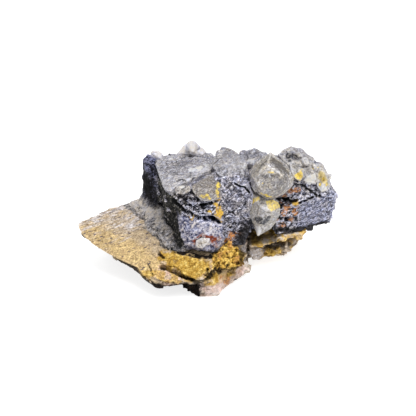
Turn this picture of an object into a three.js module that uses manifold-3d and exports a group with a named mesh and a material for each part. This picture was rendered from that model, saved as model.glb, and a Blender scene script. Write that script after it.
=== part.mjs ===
// A hand specimen of galena on a bed of ochre-stained rock, in millimetres, +Z up.
//
// The specimen is about 100 mm long. A tilted bed of tan and yellow rock carries a
// block of blue-grey galena, and clear crystals are set in the galena's top and front.
// Every mass is the hull of a few corners. Rock and ore are then broken up by a smooth
// noise, joined, and cut along the contact bed, and each crystal sits in its own socket.
// The origin is the middle of the specimen's bounding box, on the surface it rests on.

import * as THREE from 'three';
import Module from 'manifold-3d';
import { ConvexGeometry } from 'three/addons/geometries/ConvexGeometry.js';
import { ImprovedNoise } from 'three/addons/math/ImprovedNoise.js';
import { TessellateModifier } from 'three/addons/modifiers/TessellateModifier.js';
import { mergeVertices } from 'three/addons/utils/BufferGeometryUtils.js';

const wasm = await Module();
wasm.setup();

// Driving dimensions.
const GAP = 0.35; // clear space between neighbouring pieces
const BED_LEVEL = 17; // height of the contact bed at y = 0
const BED_RISE = 0.178; // rise of the contact bed for each mm towards the back
const FLOOR_STOCK = 1.5; // rock below the floor that the flat base cut takes off
const REACH = 90; // half size of a cutting block, past every part of the specimen
const SPLITS = 14; // the most times that a face is split to reach its longest edge
const LEAN = 0.5; // how far each spread direction leans off its main axis

const ROCK = { facet: 5.2, depth: 0.8, grain: 6 }; // longest edge, relief and its size
const ORE = { facet: 5.8, depth: 0.5, grain: 7 };

const FINISH = {
  rock: { color: 0xcda35a, roughness: 0.9, metalness: 0 },
  ore: { color: 0x6e6e78, roughness: 0.45, metalness: 0.7 },
  crystal: { color: 0xb9b3a6, roughness: 0.2, metalness: 0 },
};

// A point on the contact bed, or a little above it.
function onBed(x, y, above = 0) {
  return [x, y, BED_LEVEL + BED_RISE * y + above];
}

// A point below the floor, which the base cut brings back to the floor.
function onFloor(x, y) {
  return [x, y, -FLOOR_STOCK];
}

// The bare, welded surface of a geometry: positions and triangles, nothing else.
function welded(geometry) {
  const bare = geometry.clone();
  bare.deleteAttribute('normal');
  bare.deleteAttribute('uv');
  return mergeVertices(bare);
}

function toSolid(geometry) {
  const surface = welded(geometry);
  const mesh = new wasm.Mesh({
    numProp: 3,
    vertProperties: new Float32Array(surface.attributes.position.array),
    triVerts: new Uint32Array(surface.index.array),
  });
  return new wasm.Manifold(mesh);
}

// The directions in which a corner is spread to grow a hull by the gap all round.
const SPREAD = [];
for (const a of [-1, 1]) {
  for (const b of [-1, 1]) {
    SPREAD.push(new THREE.Vector3(a, b * LEAN, 0).normalize());
    SPREAD.push(new THREE.Vector3(0, a, b * LEAN).normalize());
    SPREAD.push(new THREE.Vector3(b * LEAN, 0, a).normalize());
  }
}

// The hull of some corners, grown by a margin all round.
function hull(corners, margin = 0) {
  const points = [];
  for (const corner of corners) {
    const point = new THREE.Vector3(...corner);
    points.push(point);
    if (margin > 0) {
      for (const way of SPREAD) {
        points.push(point.clone().addScaledVector(way, margin));
      }
    }
  }
  return new ConvexGeometry(points);
}

const relief = new ImprovedNoise();

// Splits a hull's faces into small facets and moves them in and out like a broken face.
function broken(corners, { facet, depth, grain }) {
  const fine = welded(new TessellateModifier(facet, SPLITS).modify(hull(corners)));
  fine.computeVertexNormals();
  const place = fine.attributes.position;
  const point = new THREE.Vector3();
  const outward = new THREE.Vector3();
  for (let i = 0; i < place.count; i += 1) {
    point.fromBufferAttribute(place, i);
    outward.fromBufferAttribute(fine.attributes.normal, i);
    const push = depth * relief.noise(point.x / grain, point.y / grain, point.z / grain);
    point.addScaledVector(outward, push);
    place.setXYZ(i, point.x, point.y, point.z);
  }
  return toSolid(fine);
}

// Joins solids into one.
function join(solids) {
  return solids.reduce((whole, next) => whole.add(next));
}

// The largest body of a solid, without the crumbs that a cut has left.
function largest(solid) {
  const bodies = solid.decompose();
  return bodies.reduce((best, next) => (next.volume() > best.volume() ? next : best));
}

// Half of space, as a large block above a tilted plane.
function above(level, rise) {
  const corners = [];
  for (const x of [-REACH, REACH]) {
    for (const y of [-REACH, REACH]) {
      corners.push([x, y, level + rise * y]);
      corners.push([x, y, level + rise * y + 2 * REACH]);
    }
  }
  return toSolid(hull(corners));
}

// ---- Rock: the tilted bed and what lies under it ------------------------------------

const SLAB = [
  [-50.5, -1, 17],
  [-49, -5, 15],
  [-45, -10.5, 14.2],
  [-34.7, -16.8, 12.5],
  [-25.2, -23.8, 10],
  [-21.5, -28, 7.3],
  [-18, -29.5, 6.5],
  [-12, -29.5, 7.3],
  [-3, -28, 8],
  [2, -24, 12.5],
  onBed(-50, 1),
  onBed(-45, 5),
  onBed(-37, 8.5),
  onBed(-30, 13.5),
  onBed(-23, 17),
  onBed(12, 20),
  onBed(12, -15),
  [-46, 0, 13.5],
  [-44, -7, 11.5],
  [-34, -14.5, 9],
  [-24, -22, 6],
  [-19, -26, 4],
  [-11, -26, 4.5],
  [4, -20, 6],
];

const UNDERSIDE = [
  [-45, 0, 14.5],
  [-42, -8, 11.5],
  [-33, -15, 9],
  [-24, -21.5, 6.5],
  [-12, -25, 6],
  [4, -20, 8],
  [15, -6, 12],
  onBed(-38, 7, 1),
  onBed(-30, 12.5, 1),
  onBed(-22, 20, 1),
  onBed(15, 26, 1),
  onFloor(-38, 11),
  onFloor(-28.5, -1),
  onFloor(-19.5, -13.5),
  onFloor(-12.5, -15.5),
  onFloor(8, -14),
  onFloor(14.5, -5),
  onFloor(16, 4),
  onFloor(16, 25),
  onFloor(-15, 27),
  onFloor(-31, 22),
];

const RIGHT_UNDERSIDE = [
  [15, -2, 13],
  [34, -0.5, 12],
  onBed(38, 6, 1),
  onBed(33, 23, 1),
  onBed(8, 26, 1),
  onFloor(12, 5),
  onFloor(24.5, 7),
  onFloor(29.5, 6.5),
  onFloor(32, 8),
  onFloor(35, 14.5),
  onFloor(37, 21),
  onFloor(30, 25),
  onFloor(10, 26),
];

const NOSE = [
  [-1, -24.5, 10.5],
  [2, -26, 7.5],
  [3, -22, 13],
  [12, -15, 10],
  [16, -12, 5.8],
  [16, -11, 2],
  [12.5, -14.5, 2],
  [8.5, -19.5, 2],
  [6, -24, 1],
  [-3, -26, 2],
  onFloor(-9.7, -18.6),
  onFloor(-6.7, -23),
  onFloor(-4, -26),
  onFloor(1.7, -26),
  onFloor(5.5, -24),
  onFloor(8.3, -17.5),
  onFloor(12, -11),
  onFloor(14.5, -7),
  [-9, -18, 8],
  [12, -5, 12],
];

const YELLOW_PLATE = [
  [-18, -17, 15.2],
  [-17, -21, 12],
  [-13, -23.5, 11],
  [-9, -26.5, 9.8],
  [-5, -28.5, 9],
  [-2, -29, 9],
  [0, -26.5, 11],
  [2.5, -25, 12.5],
  [1, -20, 13.8],
  [-8, -17, 14.6],
  [-12, -20, 10],
  [-5, -25.5, 7.5],
  [0, -22, 9],
];

const CRUMBLY_LUMP = [
  [1, -24.5, 13],
  [3, -20, 16],
  [6, -17, 16.5],
  [9, -16.5, 17],
  [12, -18, 16.5],
  [13.5, -20, 15],
  [13, -22, 12.5],
  [10.5, -24, 11.5],
  [6, -25, 11.5],
  [2.5, -25, 12],
  [3, -15, 11],
  [12, -14, 11],
  [4, -21, 9.5],
  [11, -19, 9.5],
];

const RIGHT_LEDGE = [
  [16, -12, 15],
  [21, -10.5, 14.5],
  [29, -6, 15.5],
  [37.5, -5, 16],
  [38, -4, 14],
  [30, -5, 12.5],
  [22, -8, 11.5],
  [16.5, -9.5, 12],
  onBed(15, 6, 1),
  onBed(38, 8, 1),
  [37, 6, 11],
  [15, 4, 10],
];

const LEDGE_FOOT = [
  [16.5, -7, 9.5],
  [26, -4, 9.5],
  [36, -1.5, 11],
  [35.5, 0, 7],
  [32, 3.5, 2],
  [30, 4, 1],
  [25, 2, 2.2],
  [20, -2, 3.3],
  [17, -3.5, 3.5],
  [16, 8, 3],
  [34, 8, 5],
  [34, 8, 12],
  [16, 8, 12],
];

// ---- Ore: the galena's blocks --------------------------------------------------------

const LEFT_BLOCK = [
  [-17.5, 17, 37.5],
  [-19.5, 12, 36.5],
  [-18, 3, 36.5],
  [-17, -5, 37],
  [-14.5, -13.5, 38],
  [-10, -16, 33],
  [-7.5, -17.5, 31],
  [-3.5, -18.5, 29.5],
  [1.5, -18, 29.5],
  [4, -16, 30],
  [5.5, -14.5, 36],
  [5.5, -12, 40.5],
  [1.5, -8, 41.5],
  [2.5, 6, 41],
  [-1, 14, 40],
  onBed(-15.5, -3, -1),
  onBed(-17.5, 12, -1),
  onBed(0, 0, -1),
];

const LOWER_LEFT_BLOCK = [
  [-10.5, -15, 32],
  [-8, -17, 29.5],
  [-3.5, -18.8, 27.5],
  [1.5, -18.8, 27.5],
  [4, -17.5, 25.5],
  [6, -17.5, 21],
  [5.5, -17.5, 16.5],
  [-1, -19.3, 16.5],
  [-6.5, -19, 18],
  [-9, -17.5, 18],
  [-10.5, -15.5, 22.5],
  onBed(-11.5, -14.5),
  onBed(5, -16, -1),
  onBed(-14, 2, -1),
  onBed(6, 2, -1),
  [-15, 0, 30],
  [5, 0, 30],
];

const CENTRE_BLOCK = [
  [2.5, 0, 43],
  [5, -11, 42.5],
  [10, -9.5, 43],
  [13, 0, 43.5],
  [15.5, -10.5, 40],
  [17.5, -13, 34],
  [16.5, -13, 24],
  onBed(13.5, -13.5, -1),
  onBed(6, -15, -1),
  [5, -15.5, 27],
  [5, -15, 36],
  onBed(4, 12, -1),
  onBed(16, 12, -1),
  [5, 12, 40],
  [16, 12, 40],
];

const SADDLE = [
  onBed(14, -4, -1),
  onBed(29, -4, -1),
  [14, -9, 41],
  [28, -8, 41],
  onBed(14, 14, -1),
  onBed(29, 14, -1),
  [14, 12, 41],
  [28, 12, 41],
];

const RIGHT_BLOCK = [
  [25.5, -9.5, 19],
  [29.5, -6.5, 17],
  [35.5, -4.5, 16.5],
  [46.3, -0.7, 17.8],
  [48, 1.5, 21],
  [50, 2.5, 24],
  [49, 1.5, 27.5],
  [41, -6, 31.5],
  [35, -8, 32],
  [26, -9.5, 29.5],
  onBed(26, 14, -1),
  [46, 16, 22],
  [47, 14, 30],
];

const RIGHT_SHOULDER = [
  [26, -8, 28],
  [34, -7.5, 33],
  [42, -5, 32.5],
  [47, 1, 33],
  [44, 2, 40],
  [30, -4, 43],
  [26, -4, 43],
  [28, 16, 40],
  [44, 13, 37],
  [46, 12, 28],
  [26, 16, 28],
];

const PILLAR = [
  [-25.5, 13, 21],
  [-25.5, 13, 30.5],
  [-25.5, 14.5, 38.5],
  [-23.5, 16, 40],
  [-22, 17, 39],
  [-20.5, 11, 35],
  [-18.5, 5, 24],
  [-20, 8, 21],
  [-25, 20, 21],
  [-20, 20, 38],
  [-16, 12, 36],
  [-16, 8, 22],
];

const PILLAR_FOOT = [
  onBed(-28, 13.5, 0.6),
  onBed(-26, 18, 0.6),
  [-26, 13.5, 23],
  [-24, 19, 23],
  onBed(-21, 4, 0.6),
  [-19, 6, 24],
  onBed(-26, 14, -1),
  onBed(-22, 18, -1),
];

const FILLET = [
  onBed(-30, 13.5, 0.8),
  onBed(-28.5, 7, 0.8),
  onBed(-25.5, -1, 0.8),
  onBed(-22, -7, 0.8),
  onBed(-18.5, -12.5, 0.8),
  onBed(-13, -17.5, 0.8),
  onBed(-8.5, -17.5, 1.5),
  [-20, 9, 23],
  [-16.5, -3, 20],
  [-12.5, -12.5, 17.5],
  onBed(-26, 14, -1),
  onBed(-16, -8, -1),
  onBed(-8, -12, -1),
];

const BACK = [
  onBed(-23, 16, -1),
  onBed(-20, 22.5, -1),
  onBed(4, 24.5, -1),
  onBed(26, 23, -1),
  onBed(36, 18, -1),
  [46, 14, 26],
  [-19, 20, 34.5],
  [-2, 22, 35.5],
  [20, 21, 36],
  [42, 17, 34],
  [-17, 4, 36],
  [42, 4, 37],
  onBed(-16, 2, -1),
  onBed(36, 2, -1),
];

// ---- Clear crystals, each as the hull of its corners, the buried ones included -------

const FRONT_CRYSTAL = [
  [23.2, -6, 50.5],
  [29, -7, 46.2],
  [30.7, -8, 44],
  [32, -9, 41],
  [31.4, -10, 38.6],
  [28.5, -11.5, 36.4],
  [24.2, -13, 34.6],
  [21.4, -13, 34.8],
  [18.8, -12, 36.3],
  [16.6, -10, 39.2],
  [15.3, -8, 43.4],
  [17.8, -7, 46.7],
  [20, -12, 47],
  [22, -11.5, 48],
  [25.6, -12, 46.2],
  [27.3, -13, 44.4],
  [28.3, -14.5, 42],
  [26.5, -15.5, 39.7],
  [22.8, -16, 38.3],
  [20, -15.5, 39.3],
  [17.7, -14, 42.3],
  [22, 2, 44],
  [28, 0, 41],
  [18, 0, 40],
  [24, -2, 36],
];

const LOWER_CRYSTAL = [
  [16.2, -11, 35.8],
  [21.6, -13, 34.7],
  [24.7, -13.5, 34.3],
  [26.7, -13, 31.8],
  [26.8, -13, 28],
  [25.4, -13, 25],
  [23.3, -13.5, 22.2],
  [18.7, -15.5, 20.4],
  [17.5, -14, 24.3],
  [15.8, -13, 28],
  [15.6, -12, 31],
  [20, -17, 32.5],
  [23.7, -17, 31.8],
  [20.4, -17.5, 28.3],
  [18.7, -16.5, 23.5],
  [21, -4, 34],
  [24, -3, 27],
  [19, -4, 27],
];

const CENTRE_CRYSTAL = [
  [1.9, 0, 44.5],
  [5.3, 3, 48.5],
  [8.7, 2, 48.1],
  [12.4, 0, 46.2],
  [14.6, -3, 44.7],
  [15, -6, 41.2],
  [12, -11, 39],
  [7.4, -11.5, 40.2],
  [3.3, -9, 43.9],
  [1.7, -4, 44.4],
  [5, 8, 42],
  [12, 7, 41],
  [4, -4, 38],
  [12, -5, 36],
];

const BACK_CENTRE_CRYSTAL = [
  [12.6, 6, 43.3],
  [17.6, 8, 45.7],
  [22.2, 7, 43.7],
  [22.7, 2, 43.5],
  [18.8, -2, 43],
  [14.7, 0, 43.3],
  [15.7, 12, 42],
  [14, 4, 37],
  [21, 5, 37],
];

const BACK_LEFT_CRYSTAL = [
  [-12, 14, 40.4],
  [-9.7, 15, 41.7],
  [-9.5, 16, 43],
  [-6.6, 18, 44.3],
  [-5.6, 18, 44.3],
  [-4.2, 17, 42.9],
  [-0.6, 14, 41.1],
  [-7.5, 12.5, 41.2],
  [-9, 19, 36.5],
  [-2, 18, 36.5],
  [-6, 15, 36],
];

const FAR_LEFT_CRYSTAL = [
  [-22.5, 17.5, 39.2],
  [-21.8, 18, 39.8],
  [-19.4, 18.5, 39.5],
  [-17.8, 17.5, 38.3],
  [-18.5, 14.5, 38.2],
  [-21, 16, 36],
  [-20.5, 19, 34.5],
  [-18, 18, 34.5],
];

const LEFT_TOP_CRYSTAL = [
  [-20, 10, 38.4],
  [-17.3, 14, 39.5],
  [-12, 14, 39.9],
  [-0.8, 13, 41.2],
  [1.7, 12, 41.3],
  [2.7, 8, 41.5],
  [1.3, -4, 42],
  [-6.7, -11, 41.8],
  [-11.5, -13, 42],
  [-12.6, -15.5, 40.2],
  [-14, -16.5, 39.6],
  [-15.3, -15, 39.5],
  [-17.3, -9, 39.1],
  [-18, -2, 39.3],
  [-18, 9, 35],
  [-12, 12, 35.5],
  [1, 10, 37],
  [0, -4, 37.5],
  [-7, -10, 37.5],
  [-13, -13, 36.5],
  [-16, -8, 35.5],
];

const LEFT_FACE_CRYSTAL = [
  [-6, -15, 40.8],
  [-2.5, -11, 41.5],
  [1.4, -7.5, 42.3],
  [4, -8, 41.7],
  [5.6, -10.5, 40.4],
  [4.6, -16, 36.4],
  [1.7, -17.5, 36.4],
  [-2.4, -17.8, 36.5],
  [-5.4, -16.5, 39.6],
  [-1, -17.8, 40.6],
  [-2, -8, 37],
  [3, -7, 36.5],
];

const SMALL_EDGE_CRYSTAL = [
  [-12, -15.8, 41],
  [-9.5, -15.2, 41.4],
  [-6.8, -15.6, 41.3],
  [-6.6, -17, 40.3],
  [-9, -17.8, 39.3],
  [-11.8, -17.4, 39.6],
  [-10, -13, 38],
  [-7.5, -13, 38.2],
];

const SMALL_LOWER_CRYSTAL = [
  [-4.3, -19.3, 20.2],
  [-2.2, -19.2, 21.6],
  [0.7, -19.3, 21.3],
  [0.2, -20.6, 20.2],
  [-2.2, -20.8, 18],
  [-4.3, -20.4, 18.4],
  [-3, -16, 20],
  [0, -16, 19.5],
  [-2, -16, 18],
];

const RIGHT_TOP_HEAD = [
  [26.6, 2, 45.8],
  [29.2, 6, 46.3],
  [31.7, 8, 46.5],
  [35.6, 8, 45.4],
  [37.5, 6, 44.4],
  [40.2, 4, 43.2],
  [40.2, 2, 42.6],
  [37.3, -1.5, 42.7],
  [32, -2.5, 45],
  [30.2, -4, 44.2],
  [28, 5, 38],
  [38, 6, 38],
  [33, 0, 38],
];

const RIGHT_TOP_WEDGE = [
  [30.7, -4, 44.8],
  [32.2, -4, 44.2],
  [36, -4.5, 43],
  [36.2, -6, 41.2],
  [34.3, -9, 40.2],
  [32, -9, 41.8],
  [30.9, -8, 43.8],
  [33, -1, 39],
  [31, -3, 40],
];

const RIGHT_TOP_PRISM = [
  [35.5, -3, 42.2],
  [38.5, 0, 43],
  [42, 0, 42],
  [42.1, -4, 40.2],
  [40, -8, 38.4],
  [36, -8, 39.7],
  [37.8, -6, 41.4],
  [38, 1, 37],
  [41, 1, 37],
];

const RIGHT_TOP_END = [
  [41, 2, 42],
  [43.8, 3, 41.2],
  [45.4, 2, 38],
  [46.7, 0, 34],
  [45.6, -2, 32.8],
  [43.1, -5, 33.5],
  [41, -6, 36.6],
  [41.4, -4, 40.2],
  [40, 2, 36],
  [43, 6, 35],
];

// Each crystal by its hulls. Those that grew into each other share one entry.
const CRYSTALS = {
  front_crystal: [FRONT_CRYSTAL],
  lower_crystal: [LOWER_CRYSTAL],
  centre_crystal: [CENTRE_CRYSTAL],
  left_top_crystal: [LEFT_TOP_CRYSTAL],
  left_face_crystal: [LEFT_FACE_CRYSTAL],
  right_top_crystals: [RIGHT_TOP_HEAD, RIGHT_TOP_WEDGE, RIGHT_TOP_PRISM, RIGHT_TOP_END],
  back_centre_crystal: [BACK_CENTRE_CRYSTAL],
  back_left_crystal: [BACK_LEFT_CRYSTAL],
  far_left_crystal: [FAR_LEFT_CRYSTAL],
  small_edge_crystal: [SMALL_EDGE_CRYSTAL],
  small_lower_crystal: [SMALL_LOWER_CRYSTAL],
};

function hullsToSolid(hulls, margin = 0) {
  return join(hulls.map((corners) => toSolid(hull(corners, margin))));
}

// The crystals, in order: each gives way to those before it, and all of them together,
// grown by the gap, are the sockets that the ore is cut by.
function growCrystals() {
  const grown = new Map();
  let sockets = null;
  for (const [name, hulls] of Object.entries(CRYSTALS)) {
    const whole = hullsToSolid(hulls);
    grown.set(name, sockets ? largest(whole.subtract(sockets)) : whole);
    const socket = hullsToSolid(hulls, GAP);
    sockets = sockets ? sockets.add(socket) : socket;
  }
  return { grown, sockets };
}

function makeOre(sockets) {
  const blocks = [
    LEFT_BLOCK,
    LOWER_LEFT_BLOCK,
    CENTRE_BLOCK,
    SADDLE,
    RIGHT_BLOCK,
    RIGHT_SHOULDER,
    PILLAR,
    PILLAR_FOOT,
    FILLET,
    BACK,
  ];
  const mass = join(blocks.map((corners) => broken(corners, ORE)));
  return largest(mass.intersect(above(BED_LEVEL + 2 * GAP, BED_RISE)).subtract(sockets));
}

// The rock under the ore, with a flat base. Where it rises past the contact bed, in
// front of the ore, it keeps the gap by giving way to the ore moved a gap each way.
function makeRock(ore, sockets) {
  const beds = join(
    [SLAB, UNDERSIDE, RIGHT_UNDERSIDE, RIGHT_LEDGE, LEDGE_FOOT].map((corners) => broken(corners, ROCK)),
  ).subtract(above(BED_LEVEL, BED_RISE));
  const front = join([NOSE, YELLOW_PLATE, CRUMBLY_LUMP].map((corners) => broken(corners, ROCK)));
  let mass = beds.add(front).intersect(above(0, 0)).subtract(sockets);
  for (const way of SPREAD) {
    const shift = way.clone().multiplyScalar(GAP);
    mass = mass.subtract(ore.translate(shift.toArray()));
  }
  return largest(mass);
}

function makeMesh(name, solid, finish) {
  const { vertProperties, triVerts } = solid.getMesh();
  const geometry = new THREE.BufferGeometry();
  geometry.setAttribute('position', new THREE.BufferAttribute(vertProperties, 3));
  geometry.setIndex(new THREE.BufferAttribute(triVerts, 1));
  geometry.computeVertexNormals();
  const mesh = new THREE.Mesh(geometry, new THREE.MeshStandardMaterial(finish));
  mesh.name = name;
  return mesh;
}

function makeSpecimen() {
  const specimen = new THREE.Group();
  const { grown, sockets } = growCrystals();
  const ore = makeOre(sockets);
  specimen.add(makeMesh('ochre_matrix', makeRock(ore, sockets), FINISH.rock));
  specimen.add(makeMesh('galena', ore, FINISH.ore));
  for (const [name, solid] of grown) {
    specimen.add(makeMesh(name, solid, FINISH.crystal));
  }
  const box = new THREE.Box3().setFromObject(specimen);
  const middle = box.getCenter(new THREE.Vector3());
  specimen.position.set(-middle.x, -middle.y, -box.min.z);
  return specimen;
}

export default makeSpecimen();
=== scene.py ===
"""Looks of a galena hand specimen: blue-grey ore and clear crystals on a bed of ochre rock.

Shapes are worked on in millimetres, in the drawing the specimen was laid out in, and are
written to the meshes in metres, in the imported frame.
"""

import math
from collections import namedtuple

import bmesh
import bpy
import numpy as np
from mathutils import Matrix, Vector


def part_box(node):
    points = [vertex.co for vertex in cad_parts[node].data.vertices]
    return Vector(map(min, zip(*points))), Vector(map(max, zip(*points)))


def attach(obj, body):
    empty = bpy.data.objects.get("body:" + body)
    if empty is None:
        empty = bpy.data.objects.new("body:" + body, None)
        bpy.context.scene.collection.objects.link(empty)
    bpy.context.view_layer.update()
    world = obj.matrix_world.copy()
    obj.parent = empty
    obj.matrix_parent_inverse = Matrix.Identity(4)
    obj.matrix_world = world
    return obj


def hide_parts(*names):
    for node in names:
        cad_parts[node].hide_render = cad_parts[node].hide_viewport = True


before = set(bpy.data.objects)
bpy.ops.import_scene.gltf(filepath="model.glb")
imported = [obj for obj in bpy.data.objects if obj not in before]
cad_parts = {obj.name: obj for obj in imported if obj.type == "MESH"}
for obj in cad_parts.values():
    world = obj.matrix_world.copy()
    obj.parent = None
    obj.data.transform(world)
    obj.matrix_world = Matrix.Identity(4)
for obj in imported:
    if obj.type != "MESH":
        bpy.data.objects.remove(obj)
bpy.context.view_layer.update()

MM = 0.001
# The front crystal's lowest corner as it was drawn, which ties the drawing to the frame.
CRYSTAL_CORNER = np.array([15.3, -16.0, 34.6])
TO_FRAME = np.array(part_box("front_crystal")[0]) / MM - CRYSTAL_CORNER

# The bed on which the ore rests: its height at y = 0, and how it rises with y.
BED_LEVEL = 17.0
BED_RISE = 0.178


# ---- Repeatable noise and masks over arrays of points, all in millimetres ------------------


def lottery(cell, seed):
    """A number from 0 to 1 for each lattice cell, always the same one."""
    part = (cell.astype(np.int64) & 0xFFFFFFFF).astype(np.uint32)
    mix = part[:, 0] * np.uint32(73856093)
    mix ^= part[:, 1] * np.uint32(19349663)
    mix ^= part[:, 2] * np.uint32(83492791)
    mix ^= np.uint32((seed * 2654435761) & 0xFFFFFFFF)
    for shift, factor in ((16, 2146121005), (15, 2221713035), (16, 1)):
        mix ^= mix >> np.uint32(shift)
        mix *= np.uint32(factor)
    return mix.astype(np.float64) / 0xFFFFFFFF


def swell(points, size, seed=0):
    """Smooth noise from -1 to 1, with features about size across."""
    place = points / size
    low = np.floor(place)
    t = place - low
    t = t * t * t * (t * (t * 6 - 15) + 10)
    total = np.zeros(len(points))
    for dx in (0, 1):
        for dy in (0, 1):
            for dz in (0, 1):
                near = np.where([dx, dy, dz], t, 1 - t)
                total += near.prod(1) * lottery(low + [dx, dy, dz], seed)
    return total * 2 - 1


def rubble(points, size, octaves, seed=0, fade=0.5):
    """Several swells, each half as large as the last."""
    total = np.zeros(len(points))
    for step in range(octaves):
        total += fade**step * swell(points, size / 2**step, seed + 17 * step)
    return total


def grains(points, size, seed=0):
    """For rounded grains about size across: the width of the seam to the next, and a number."""
    place = points / size
    low = np.floor(place)
    first = np.full(len(points), 9.0)
    second = np.full(len(points), 9.0)
    number = np.zeros(len(points))
    for dx in (-1, 0, 1):
        for dy in (-1, 0, 1):
            for dz in (-1, 0, 1):
                cell = low + [dx, dy, dz]
                middle = np.stack([lottery(cell, seed + k) for k in (1, 2, 3)], 1) + cell
                gap = np.linalg.norm(place - middle, axis=1)
                closer = gap < first
                second = np.where(closer, first, np.minimum(second, gap))
                number = np.where(closer, lottery(cell, seed + 4), number)
                first = np.where(closer, gap, first)
    return second - first, number


def ease(value, low, high):
    """0 at low, 1 at high, smooth between. low may be the larger."""
    t = np.clip((value - low) / (high - low), 0, 1)
    return t * t * (3 - 2 * t)


def within(value, low, high, soft=1.0):
    """1 between low and high, falling to 0 over soft at each end."""
    return ease(value, low - soft, low) * ease(value, high + soft, high)


def most(*shares):
    """The largest of several numbers at each point."""
    return np.maximum.reduce(shares)


def distance(points, x, y, z):
    return np.linalg.norm(points - [x, y, z], axis=1)


def line_distance(points, path, way=None):
    """How far each point is from a line through the path's corners, seen along way."""
    path = np.array(path, float)
    if way is not None:
        way = np.array(way, float) / np.linalg.norm(way)
        depth = points @ way
        level = (path @ way).mean()
        points = points - depth[:, None] * way
        path = path - (path @ way)[:, None] * way
    best = np.full(len(points), 1e9)
    for a, b in zip(path[:-1], path[1:]):
        along = b - a
        t = np.clip(((points - a) @ along) / (along @ along), 0, 1)
        best = np.minimum(best, np.linalg.norm(points - a - t[:, None] * along, axis=1))
    if way is not None:
        best = best + 9 * ease(np.abs(depth - level), 4, 6)
    return best


def ruled(points, paths, outer, inner, waver):
    """1 on the lines through each path's corners, falling to 0 between inner and outer."""
    return most(*(ease(line_distance(points, path) + waver, outer, inner) for path in paths))


def patches(points, middles, seed=0, ragged=0.5, soft=0.4):
    """1 inside ragged patches, each given as (x, y, z, radius), falling to 0 at their edges."""
    cover = np.zeros(len(points))
    wobble = ragged * rubble(points, 1.6, 3, seed, 0.7)
    for x, y, z, radius in middles:
        gap = distance(points, x, y, z) / radius
        cover = np.maximum(cover, ease(gap + wobble, 0.95 + soft / 2, 0.95 - soft / 2))
    return cover


def changes(points, spots, wobble, inner):
    """The change made by soft spots, each given as (x, y, z, radius, change)."""
    total = np.zeros(len(points))
    for x, y, z, radius, change in spots:
        total += change * ease(distance(points, x, y, z) / radius + wobble, 1.3, inner)
    return total


def outline_share(points, outline, way, soft):
    """1 inside an outline seen along way and 0 outside it, smooth over soft at its edge."""
    way = np.array(way, float) / np.linalg.norm(way)
    side = np.cross(way, [0, 0, 1])
    side = side / np.linalg.norm(side)
    flat = np.stack([side, np.cross(side, way)], 1)
    u, v = (points @ flat).T
    corners = np.array(outline) @ flat
    inside = np.zeros(len(points), bool)
    for a, b in zip(corners, np.roll(corners, -1, 0)):
        reach = a[0] + (v - a[1]) / (b[1] - a[1] + 1e-9) * (b[0] - a[0])
        inside ^= ((a[1] > v) != (b[1] > v)) & (u < reach)
    gap = line_distance(points, outline + outline[:1], way)
    depth = np.abs(points @ way - (np.array(outline) @ way).mean())
    return ease(np.where(inside, gap, -gap), -soft, soft) * ease(depth, 6, 4)


# ---- Meshes --------------------------------------------------------------------------------


def new_object(name, data):
    thing = bpy.data.objects.new(name, data)
    bpy.context.scene.collection.objects.link(thing)
    return thing


def place_piece(piece, node, slot, material):
    """Gives a piece its material, and has it ride on the part and stand for its node."""
    piece.data.materials.clear()
    piece.data.materials.append(material)
    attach(piece, "root")
    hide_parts(node)


def box_in_drawing(node):
    """A node's low and high corners, in the drawing's millimetres."""
    return [np.array(corner) / MM - TO_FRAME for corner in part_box(node)]


def read_points(mesh):
    """The mesh's points, in the drawing's millimetres."""
    flat = np.zeros(len(mesh.vertices) * 3)
    mesh.vertices.foreach_get("co", flat)
    return flat.reshape(-1, 3) / MM - TO_FRAME


def write_points(mesh, points):
    mesh.vertices.foreach_set("co", ((points + TO_FRAME) * MM).ravel())
    mesh.update()


def read_normals(mesh):
    flat = np.zeros(len(mesh.vertices) * 3)
    mesh.vertex_normals.foreach_get("vector", flat)
    return flat.reshape(-1, 3)


def write_tints(mesh, **tints):
    """Keeps numbers from 0 to 1 for each point, for the material to read."""
    for name, values in tints.items():
        layer = mesh.attributes.new(name, "FLOAT", "POINT")
        layer.data.foreach_set("value", np.clip(values, 0, 1).astype(np.float32))


def smoothed(mesh, values, rounds):
    """Values averaged with their neighbours' over the mesh, again and again."""
    edges = np.zeros(len(mesh.edges) * 2, np.int32)
    mesh.edges.foreach_get("vertices", edges)
    a, b = edges.reshape(-1, 2).T
    count = len(mesh.vertices)
    near = np.maximum(np.bincount(a, minlength=count) + np.bincount(b, minlength=count), 1)
    for _ in range(rounds):
        fresh = []
        for column in values.T:
            total = np.bincount(a, column[b], count) + np.bincount(b, column[a], count)
            fresh.append(0.5 * column + 0.5 * total / near)
        values = np.stack(fresh, 1)
    return values


def hollows(mesh, rounds):
    """How far each point lies below (or, if negative, above) the smoothed surface."""
    points = read_points(mesh)
    return ((smoothed(mesh, points, rounds) - points) * read_normals(mesh)).sum(1)


def remeshed(piece, voxel):
    """Replaces a piece's mesh with one even skin round all of its closed shapes."""
    modifier = piece.modifiers.new("skin", "REMESH")
    modifier.mode = "VOXEL"
    modifier.voxel_size = voxel * MM
    ready = piece.evaluated_get(bpy.context.evaluated_depsgraph_get())
    skin = bpy.data.meshes.new_from_object(ready)
    piece.modifiers.clear()
    piece.data = skin
    skin.shade_smooth()
    return skin


def copy_of_node(node, name):
    return new_object(name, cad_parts[node].data.copy())


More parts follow.
